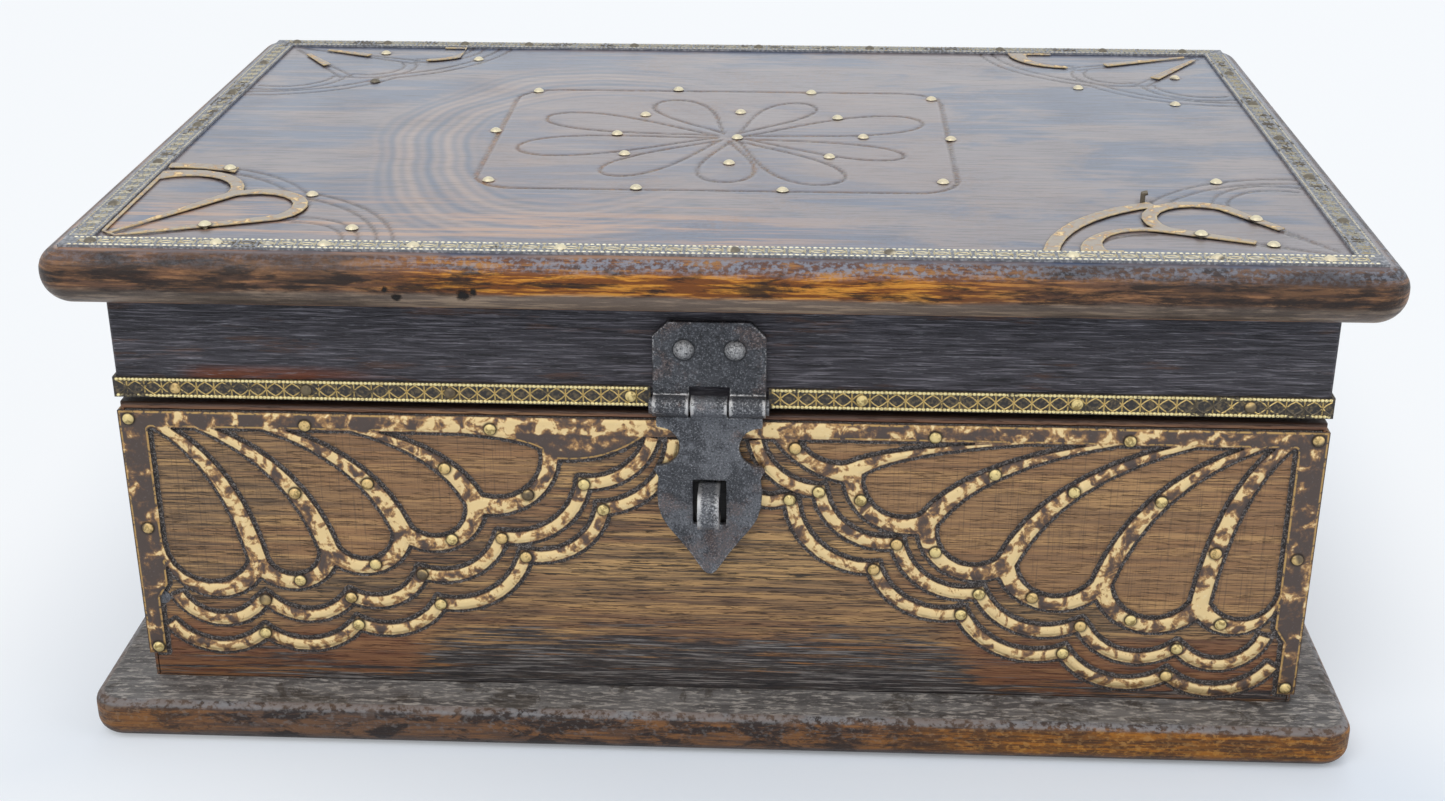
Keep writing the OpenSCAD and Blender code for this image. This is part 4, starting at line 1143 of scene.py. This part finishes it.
def round_box(centre, half_x, half_y, radius):
    points = []
    for sx, sy, start in ((1, 1, 0), (-1, 1, 90), (-1, -1, 180), (1, -1, 270)):
        for a in range(0, 91, 15):
            angle = math.radians(start + a)
            points.append((
                centre[0] + sx * (half_x - radius) + radius * math.cos(angle),
                centre[1] + sy * (half_y - radius) + radius * math.sin(angle),
            ))
    return np.array(points)


def bowed(p, q, bulge, inset=0.0):
    """Points on the arc from p to q that stands out from the corner."""
    p, q = np.array(p, float), np.array(q, float)
    chord = np.linalg.norm(q - p)
    along = (q - p) / chord
    out = np.array([along[1], -along[0]])
    out *= np.sign(out @ (p + q))
    sag = bulge * chord
    radius = (chord ** 2 / 4 + sag ** 2) / (2 * sag)
    middle = (p + q) / 2 + out * (sag - radius)
    half = 2 * math.atan(2 * sag / chord)
    angles = np.linspace(-half, half, 12)[:, None]
    return middle + (out * np.cos(angles) + along * np.sin(angles)) * (radius - inset)


def fan_traces(sx, sy):
    """Lines that a corner fan has left in the wood, brass or not."""
    inner = np.array([STRIP_HIGH.x - STRIP_WIDTH, -STRIP_LOW.y - STRIP_WIDTH])
    lines = []
    for knots, bulges in ((RING, RING_BULGE), (BAND, BAND_BULGE)):
        for p, q, bulge in zip(knots, knots[1:], bulges):
            lines += [bowed(p, q, bulge), bowed(p, q, bulge, 3)]
    for knot in RING[1:3]:
        knot = np.array(knot, float)
        side = np.array([-knot[1], knot[0]]) / np.linalg.norm(knot)
        lines += [np.array([knot * 0.1, knot - side * s * 1.4]) for s in (-1, 1)]
    return [((inner - line) * (sx, sy), False) for line in lines]


def line_mark(points, outlines, width, wobble=0.0):
    """1 on the engraved lines, falling to 0 at their edges."""
    runs = []
    for outline, closed in outlines:
        ends = np.roll(outline, -1, 0) if closed else outline[1:]
        starts = outline if closed else outline[:-1]
        runs += [np.array([[*a, 0], [*b, 0]]) for a, b in zip(starts, ends)]
    gap = distance_to(points, sampled(runs, 0.2), flat=2)
    return smoothstep(width * 0.85, width * 0.2, gap + wobble)


def engrave_lid(face, reach):
    """Cuts the medallion and the traces of the fans, and swells the wood a little."""
    points = places(face)
    outer = points[:, 2] > LID_HIGH.z - LID_SEAT_DEPTH / 2
    border = round_box(*BORDER)
    outlines = [(border, True)] + [(petal_outline(*petal), True) for petal in PETALS]
    traces = [trace for sx in (-1, 1) for sy in (-1, 1) for trace in fan_traces(sx, sy)]
    width = settings().carving.line
    wobble = rough_field(points[outer] * [1, 1, 0], 6.0, 2.0) * 0.12
    line, inside = np.zeros(len(points)), np.zeros(len(points))
    line[outer] = np.maximum(
        line_mark(points[outer], outlines, width, wobble),
        line_mark(points[outer], traces, width, wobble) * 0.7,
    )
    inside[outer] = inside_loops(points[outer][:, :2], [border])
    carry(face, "line", line)
    carry(face, "inside", inside)
    to_pin = distance_to(points, pin_places("medallion_pins", "lid_pins"), flat=2)
    edge = np.minimum(reach.x - np.abs(points[:, 0]), reach.y - np.abs(points[:, 1]))
    swell = 0.06 * rough_field(points * [1, 1, 0], 14.0, 1.0) * smoothstep(0.5, 6, edge)
    sunk = 0.2 * line + 0.1 * smoothstep(2.4, 1.3, to_pin) - swell + 0.06
    points[:, 2] -= np.where(outer, np.maximum(sunk, 0) * smoothstep(0.0, 1.0, edge), 0)
    move_to(face, points)


class JEWELRYBOX_OT_lid(bpy.types.Operator):
    """Lid board with its engraved face, and the rails"""

    bl_idname = "jewelry_box.lid"
    bl_label = "Lid and rails"

    def execute(self, context):
        board = take("lid_board", "lid_moulding")
        sink_face(board, UP, LID_SEAT_MARGIN, LID_SEAT_DEPTH)
        smooth(board, 35)
        hand_in(board, "lid", "lid_wood", lid_wood("lid_wood"), "lid_board")

        inset = LID_SEAT_MARGIN + 0.04
        reach = Vector((STRIP_HIGH.x - inset, -STRIP_LOW.y - inset, LID_HIGH.z))
        low = Vector((-reach.x, -reach.y, LID_HIGH.z - LID_SEAT_DEPTH + 0.02))
        face = slab("lid_face", low, reach, 0.6, UP)
        engrave_lid(face, reach)
        smooth(face, 60)
        hand_in(face, "lid", "lid_wood", lid_wood("engraved_lid_wood", carved=True))

        dress(rail_wood("rail_wood"), "lid_front_rail", "lid_back_rail")
        dress(rail_wood("side_rail_wood", along="y"), "lid_left_rail", "lid_right_rail")
        return {"FINISHED"}


LID_FANS = ("lid_fan_front_left", "lid_fan_front_right", "lid_fan_back_left", "lid_fan_back_right")
LID_STRIPS = ("lid_strip_front", "lid_strip_back", "lid_strip_left", "lid_strip_right")
# Lines of one cell of the embossed patterns: places along and across the band, from -1 to 1
STAR = (
    ((0, -1), (0, 1)),
    ((-1, 1), (-0.45, 0.55), (0, 0), (0.45, -0.55), (1, -1)),
    ((-1, -1), (-0.45, -0.55), (0, 0), (0.45, 0.55), (1, 1)),
)
LINK = (
    ((-0.72, -0.9), (-0.8, 0.0), (-0.72, 0.9)),
    ((0.72, -0.9), (0.8, 0.0), (0.72, 0.9)),
    ((-0.72, 0.0), (-0.3, 0.42), (0.3, 0.42), (0.72, 0.0)),
    ((-0.72, 0.0), (-0.3, -0.42), (0.3, -0.42), (0.72, 0.0)),
)


def repeat(piece, count, step):
    """Repeats a piece along its X."""
    apply(piece, "ARRAY", count=count, use_relative_offset=False, use_constant_offset=True,
          constant_offset_displace=(step * MM, 0, 0))


def bead_row(name, length, pitch, size, height):
    """A row of low beads along X from 0 to length, at y = 0, on z = 0."""
    count = int(length / pitch)
    bpy.ops.object.select_all(action="DESELECT")
    bpy.ops.mesh.primitive_uv_sphere_add(segments=8, ring_count=6, radius=0.5, location=(0, 0, 0))
    row = bpy.context.object
    row.name = row.data.name = name
    edit(row)
    bpy.ops.mesh.bisect(plane_co=(0, 0, -0.1), plane_no=(0, 0, 1), clear_inner=True, use_fill=True)
    bpy.ops.mesh.select_all(action="SELECT")
    bpy.ops.transform.resize(value=(size[0] * MM, size[1] * MM, 2 * height * MM), center_override=(0, 0, 0))
    bpy.ops.transform.translate(value=((length - (count - 1) * pitch) / 2 * MM, 0, 0))
    leave()
    repeat(row, count, pitch)
    carry(row, "ridge", np.ones(len(row.data.vertices)))
    return row


def motif_row(name, length, pitch, half_width, lines, thick):
    """A row of embossed cells along X from 0 to length, at y = 0, on z = 0."""
    count = int(length / pitch)
    curve = bpy.data.curves.new(name, "CURVE")
    curve.dimensions = "3D"
    curve.bevel_depth = thick / 2 * MM
    curve.bevel_resolution = 0
    start = (length - count * pitch) / 2 + pitch / 2
    for line in lines:
        spline = curve.splines.new("POLY")
        spline.points.add(len(line) - 1)
        for point, (u, v) in zip(spline.points, line):
            point.co = ((start + u * pitch / 2) * MM, v * half_width * MM, 0, 1)
    row = bpy.data.objects.new(name, curve)
    bpy.context.collection.objects.link(row)
    pick(row)
    bpy.ops.object.convert(target="MESH")
    row = bpy.context.object
    repeat(row, count, pitch)
    carry(row, "ridge", np.zeros(len(row.data.vertices)))
    return row


def lay(rows, name, origin, along, across):
    """Joins rows drawn on a band and lays them at origin, in millimetres."""
    bpy.ops.object.select_all(action="DESELECT")
    for row in rows:
        row.select_set(True)
    bpy.context.view_layer.objects.active = rows[0]
    bpy.ops.object.join()
    piece = bpy.context.object
    piece.name = piece.data.name = name
    along, across = Vector(along), Vector(across)
    turn = Matrix((along, across, along.cross(across))).transposed().to_4x4()
    piece.data.transform(Matrix.Translation(Vector(origin) * MM) @ turn)
    smooth(piece, 50)
    return piece


def shift(piece, across):
    edit(piece)
    bpy.ops.transform.translate(value=(0, across * MM, 0))
    leave()
    return piece


class JEWELRYBOX_OT_lid_brass(bpy.types.Operator):
    """What is left of the corner fans, and the embossed strips round the lid"""

    bl_idname = "jewelry_box.lid_brass"
    bl_label = "Lid brass"

    def strip(self, name, length, origin, along, across, material):
        half = STRIP_WIDTH / 2
        rows = [
            shift(bead_row("dashes", length, 1.12, (0.86, 0.55), 0.16), side * (half - 0.5))
            for side in (-1, 1)
        ]
        rows.append(motif_row("links", length, 3.8, half - 1.1, LINK, 0.3))
        hand_in(lay(rows, name, origin, along, across), "lid", "lid_brass", material)

    def execute(self, context):
        material = old_brass("lid_brass", wear=0.58, size=2.2, ground="b2a698", fringe=0.7)
        pins = pin_places("lid_pins")
        for node in LID_FANS:
            sheet, points, inner, to_pin = fine_sheet(node, UP, 0.22, pins)
            up = smoothstep(0.3, 0.8, normals(sheet)[:, 2])
            creased = 0.12 * np.abs(rough_field(points, 1.8))
            points[:, 2] -= up * (0.06 * smoothstep(0.6, 0.1, inner) + creased)
            move_to(sheet, points)
            carry(sheet, "inner", inner)
            # where the sheet gets a painted shadow round each pin head
            carry(sheet, "pin", smoothstep(1.8, 1.2, to_pin))
            hand_in(sheet, "lid", "lid_brass", material, node)

        gold = embossed_gold("strip_gold", wear=0.38, ends=False, pale="f8efd2", line="c6bca0")
        dull = embossed_gold("dull_strip_gold", wear=0.47, ends=False, pale="c4bdac", line="a8a290")
        top = STRIP_HIGH.z
        x, y = STRIP_HIGH.x, -STRIP_LOW.y
        half = STRIP_WIDTH / 2
        run_x, run_y = 2 * (x - 1.5), 2 * (y - STRIP_WIDTH)
        self.strip("front_strip_cells", run_x, (-run_x / 2, half - y, top), (1, 0, 0), (0, 1, 0), gold)
        self.strip("back_strip_cells", run_x, (run_x / 2, y - half, top), (-1, 0, 0), (0, -1, 0), dull)
        self.strip("left_strip_cells", run_y, (half - x, run_y / 2, top), (0, -1, 0), (1, 0, 0), dull)
        self.strip("right_strip_cells", run_y, (x - half, -run_y / 2, top), (0, 1, 0), (-1, 0, 0), dull)
        dress(band_ground("strip_ground", "a9a9ac", "74757a", 0.1), *LID_STRIPS)
        return {"FINISHED"}


class JEWELRYBOX_OT_rim_bands(bpy.types.Operator):
    """Embossed bands on the rails: beads along both edges and stars between them"""

    bl_idname = "jewelry_box.rim_bands"
    bl_label = "Rim bands"

    def run(self, name, length, width, origin, along, material):
        rows = [
            shift(bead_row("beads", length, 0.8, (0.88, 0.7), 0.26), side * (width / 2 - 0.42))
            for side in (-1, 1)
        ]
        rows.append(motif_row("stars", length, 3.43, width / 2 - 0.75, STAR, 0.28))
        hand_in(lay(rows, name, origin, along, (0, 0, 1)), "lid", "rim_brass", material)

    def execute(self, context):
        gold = embossed_gold("band_gold")
        dull = embossed_gold("dull_band_gold", wear=0.6)
        for side, node in ((-1, "rim_band_left"), (1, "rim_band_right")):
            low, high = box_mm(node)
            width = high.z - low.z
            middle = (low.z + high.z) / 2
            front = high.x - low.x - 0.4
            self.run(node + "_stars", front, width, (low.x + 0.2, low.y, middle), (1, 0, 0), gold)
            depth = high.y - low.y - 0.8
            start = (low.x, high.y - 0.4, middle) if side < 0 else (high.x, low.y + 0.4, middle)
            self.run(node + "_side_stars", depth, width, start, (0, side, 0), dull)
        dress(band_ground("band_ground"), "rim_band_left", "rim_band_right")
        return {"FINISHED"}


class JEWELRYBOX_OT_pins(bpy.types.Operator):
    """Brass pins"""

    bl_idname = "jewelry_box.pins"
    bl_label = "Pins"

    def execute(self, context):
        dress(pin_brass("fan_pin_brass", box_mm("fan_pins")[0].y), "fan_pins")
        dress(pin_brass("rim_pin_brass", box_mm("rim_band_pins")[0].y), "rim_band_pins")
        dress(pin_brass("lid_pin_brass"), "lid_pins", "medallion_pins")
        return {"FINISHED"}


# ---------- iron ----------


def forge(node, name, body, slot, material, cell, hammer):
    """A CAD node as forged iron: soft edges, an uneven skin and worn arrises."""
    piece = take(node, name)
    creases = sampled(crease_runs(piece))
    apply(piece, "REMESH", mode="VOXEL", voxel_size=cell * MM, use_smooth_shade=True)
    points = places(piece)
    worn = smoothstep(1.1, 0.1, distance_to(points, creases))
    carry(piece, "worn", worn)
    points += normals(piece) * (rough_field(points, 2.6, 5.0) * hammer - 0.02)[:, None]
    move_to(piece, points)
    hand_in(piece, body, slot, material, node)
    return piece


class JEWELRYBOX_OT_hasp(bpy.types.Operator):
    """Hasp plate, flap, staple, pin and rivets"""

    bl_idname = "jewelry_box.hasp"
    bl_label = "Hasp"

    def execute(self, context):
        iron = forged_iron("hasp_iron", knuckles=True)
        rubbed = forged_iron("staple_iron", bright=0.6)
        plate_iron = forged_iron("plate_iron", knuckles=True, dark=0.6)
        plate = forge("hasp_plate", "hasp_top_plate", "lid", "hasp_iron", plate_iron, 0.18, 0.05)
        # painted shadow round each rivet head, marked on the plate
        low, high = box_mm("hasp_rivets")
        head = (high.z - low.z) / 2
        to_rivet = distance_to(places(plate), pin_places("hasp_rivets"), flat=1)
        carry(plate, "ring", smoothstep(head + 0.5, head + 0.1, to_rivet))
        forge("hasp_flap", "hasp_drop_flap", "hasp_flap", "hasp_iron", iron, 0.18, 0.05)
        forge("staple", "hasp_staple", "box", "hasp_iron", rubbed, 0.15, 0.04)
        dress(forged_iron("rivet_iron", bright=0.8), "hasp_rivets")
        dress(rubbed, "hasp_pin")
        return {"FINISHED"}


class JEWELRYBOX_OT_hinges(bpy.types.Operator):
    """Rear hinges"""

    bl_idname = "jewelry_box.hinges"
    bl_label = "Rear hinges"

    def execute(self, context):
        iron = forged_iron("hinge_iron")
        for side in ("left", "right"):
            forge(f"{side}_hinge_box_leaf", f"{side}_lower_leaf", "box", "hinge_iron", iron, 0.22, 0.05)
            forge(f"{side}_hinge_lid_leaf", f"{side}_upper_leaf", "lid", "hinge_iron", iron, 0.22, 0.05)
        dress(iron, "left_hinge_pin", "right_hinge_pin", "hinge_box_nails", "hinge_lid_nails")
        return {"FINISHED"}


# ---------- stage ----------

# The camera: place in millimetres, turn and tilt in degrees, lens and sensor in millimetres
CAMERA_PLACE = (16.78, -417.8, 224.8)
CAMERA_YAW = -2.6
CAMERA_PITCH = 23.81
LENS = 48.3715
SENSOR = 36


class JEWELRYBOX_OT_stage(bpy.types.Operator):
    """Pale floor, soft lamps and the camera"""

    bl_idname = "jewelry_box.stage"
    bl_label = "Stage"

    def lamp(self, name, place, aim, size, power, colour, mirrored=True):
        bpy.ops.object.light_add(type="AREA", location=place)
        lamp = bpy.context.object
        lamp.name = name
        lamp.data.shape = "DISK"
        lamp.data.size = size
        lamp.data.energy = power
        lamp.data.color = colour
        lamp.visible_glossy = mirrored
        lamp.rotation_euler = (Vector(aim) - Vector(place)).to_track_quat("-Z", "Y").to_euler()

    @staticmethod
    def camera(scene):
        camera = bpy.data.objects.new("camera", bpy.data.cameras.new("camera"))
        scene.collection.objects.link(camera)
        yaw, pitch = math.radians(CAMERA_YAW), math.radians(CAMERA_PITCH)
        right = Vector((math.cos(yaw), -math.sin(yaw), 0))
        ahead = Vector((math.sin(yaw) * math.cos(pitch), math.cos(yaw) * math.cos(pitch), -math.sin(pitch)))
        turn = Matrix((right, right.cross(ahead), -ahead)).transposed().to_4x4()
        camera.matrix_world = Matrix.Translation(Vector(CAMERA_PLACE) * MM) @ turn
        camera.data.sensor_width = SENSOR
        camera.data.lens = LENS
        camera.data.clip_start = 0.01
        scene.camera = camera

    @staticmethod
    def show_to_camera(tree, lit, shown, share):
        """Shows a second surface, in part, to the camera and in mirrors and glass."""
        path = tree.nodes.new("ShaderNodeLightPath")
        seen = path.outputs["Is Camera Ray"]
        for ray in ("Is Glossy Ray", "Is Transmission Ray"):
            add = tree.nodes.new("ShaderNodeMath")
            add.operation = "MAXIMUM"
            tree.links.new(seen, add.inputs[0])
            tree.links.new(path.outputs[ray], add.inputs[1])
            seen = add.outputs[0]
        part = tree.nodes.new("ShaderNodeMath")
        part.operation = "MULTIPLY"
        tree.links.new(seen, part.inputs[0])
        if isinstance(share, Wire):
            tree.links.new(share.socket, part.inputs[1])
        else:
            part.inputs[1].default_value = share
        blend = tree.nodes.new("ShaderNodeMixShader")
        tree.links.new(part.outputs[0], blend.inputs[0])
        tree.links.new(lit, blend.inputs[1])
        tree.links.new(shown, blend.inputs[2])
        output = next(node for node in tree.nodes if node.bl_idname.startswith("ShaderNodeOutput"))
        tree.links.new(blend.outputs[0], output.inputs[0])

    def floor(self, stage):
        """A pale sheet, shown whiter to the camera away from the box than beside it."""
        bpy.ops.object.select_all(action="DESELECT")
        bpy.ops.mesh.primitive_plane_add(size=8, location=(0, 0, -0.0002))
        floor = bpy.context.object
        floor.name = "floor"
        finish = Finish("floor_paper")
        finish.set(Base_Color=stage.floor, Roughness=0.8)
        glow = finish.node("ShaderNodeEmission", {}, {0: "fafcfe"})
        x, y = finish.axes("XY")
        # less white where the shadow falls: in front of the box and close to its base
        front = y.above(-60, -104) * x.above(-135, 0)
        beyond = (abs(x) - BASE_HIGH.x).highest(abs(y) - BASE_HIGH.y)
        share = (stage.whiteness - front * 0.28 - beyond.above(60, -10) * 0.5).highest(0)
        self.show_to_camera(finish.tree, finish.surface.outputs[0], glow.socket, share)
        floor.data.materials.append(finish.material)

    def studio(self, scene, strength):
        """Soft light from all round, shown as an even white behind the box."""
        world = bpy.data.worlds.new("studio")
        scene.world = world
        world.use_nodes = True
        tree = world.node_tree
        tree.nodes.clear()
        tree.nodes.new("ShaderNodeOutputWorld")
        light = tree.nodes.new("ShaderNodeBackground")
        light.inputs[0].default_value = tone("e4edf8")
        light.inputs[1].default_value = strength
        shown = tree.nodes.new("ShaderNodeBackground")
        shown.inputs[0].default_value = tone("f6fbff")
        self.show_to_camera(tree, light.outputs[0], shown.outputs[0], 1.0)

    def execute(self, context):
        stage = settings().stage
        scene = context.scene
        self.floor(stage)
        self.studio(scene, stage.world)
        self.lamp("key_lamp", (-0.35, -0.75, 1.15), (0, 0, 0.05), 0.9, stage.lamp, (1, 0.99, 0.97))
        self.lamp("back_lamp", (0.1, 1.1, 0.9), (0, 0, 0.08), 1.2, stage.lamp * 0.7, (0.93, 0.97, 1), False)
        self.lamp("side_lamp", (1.0, -0.3, 0.6), (0, 0, 0.05), 0.8, stage.lamp * 0.35, (1, 1, 1))
        self.camera(scene)
        scene.view_settings.view_transform = "Standard"
        return {"FINISHED"}


class JEWELRYBOX_PT_panel(bpy.types.Panel):
    """Lists the pieces of the box"""

    bl_label = "Jewelry Box"
    bl_idname = "JEWELRYBOX_PT_panel"
    bl_space_type = "VIEW_3D"
    bl_region_type = "UI"
    bl_category = "Jewelry Box"

    def draw(self, context):
        for operator in OPERATORS:
            self.layout.operator(operator.bl_idname)


OPERATORS = (
    JEWELRYBOX_OT_stage,
    JEWELRYBOX_OT_base,
    JEWELRYBOX_OT_walls,
    JEWELRYBOX_OT_front_brass,
    JEWELRYBOX_OT_lid,
    JEWELRYBOX_OT_lid_brass,
    JEWELRYBOX_OT_rim_bands,
    JEWELRYBOX_OT_pins,
    JEWELRYBOX_OT_hasp,
    JEWELRYBOX_OT_hinges,
)
SETTINGS = (WoodSettings, MetalSettings, CarvingSettings, StageSettings, BoxSettings)
CLASSES = (*SETTINGS, *OPERATORS, JEWELRYBOX_PT_panel)


def register():
    for cls in CLASSES:
        bpy.utils.register_class(cls)
    bpy.types.Scene.jewelry_box = PointerProperty(type=BoxSettings)


def unregister():
    del bpy.types.Scene.jewelry_box
    for cls in reversed(CLASSES):
        bpy.utils.unregister_class(cls)


def main():
    register()
    for operator in OPERATORS:
        getattr(bpy.ops.jewelry_box, operator.bl_idname.split(".")[1])()


if __name__ == "__main__":
    main()
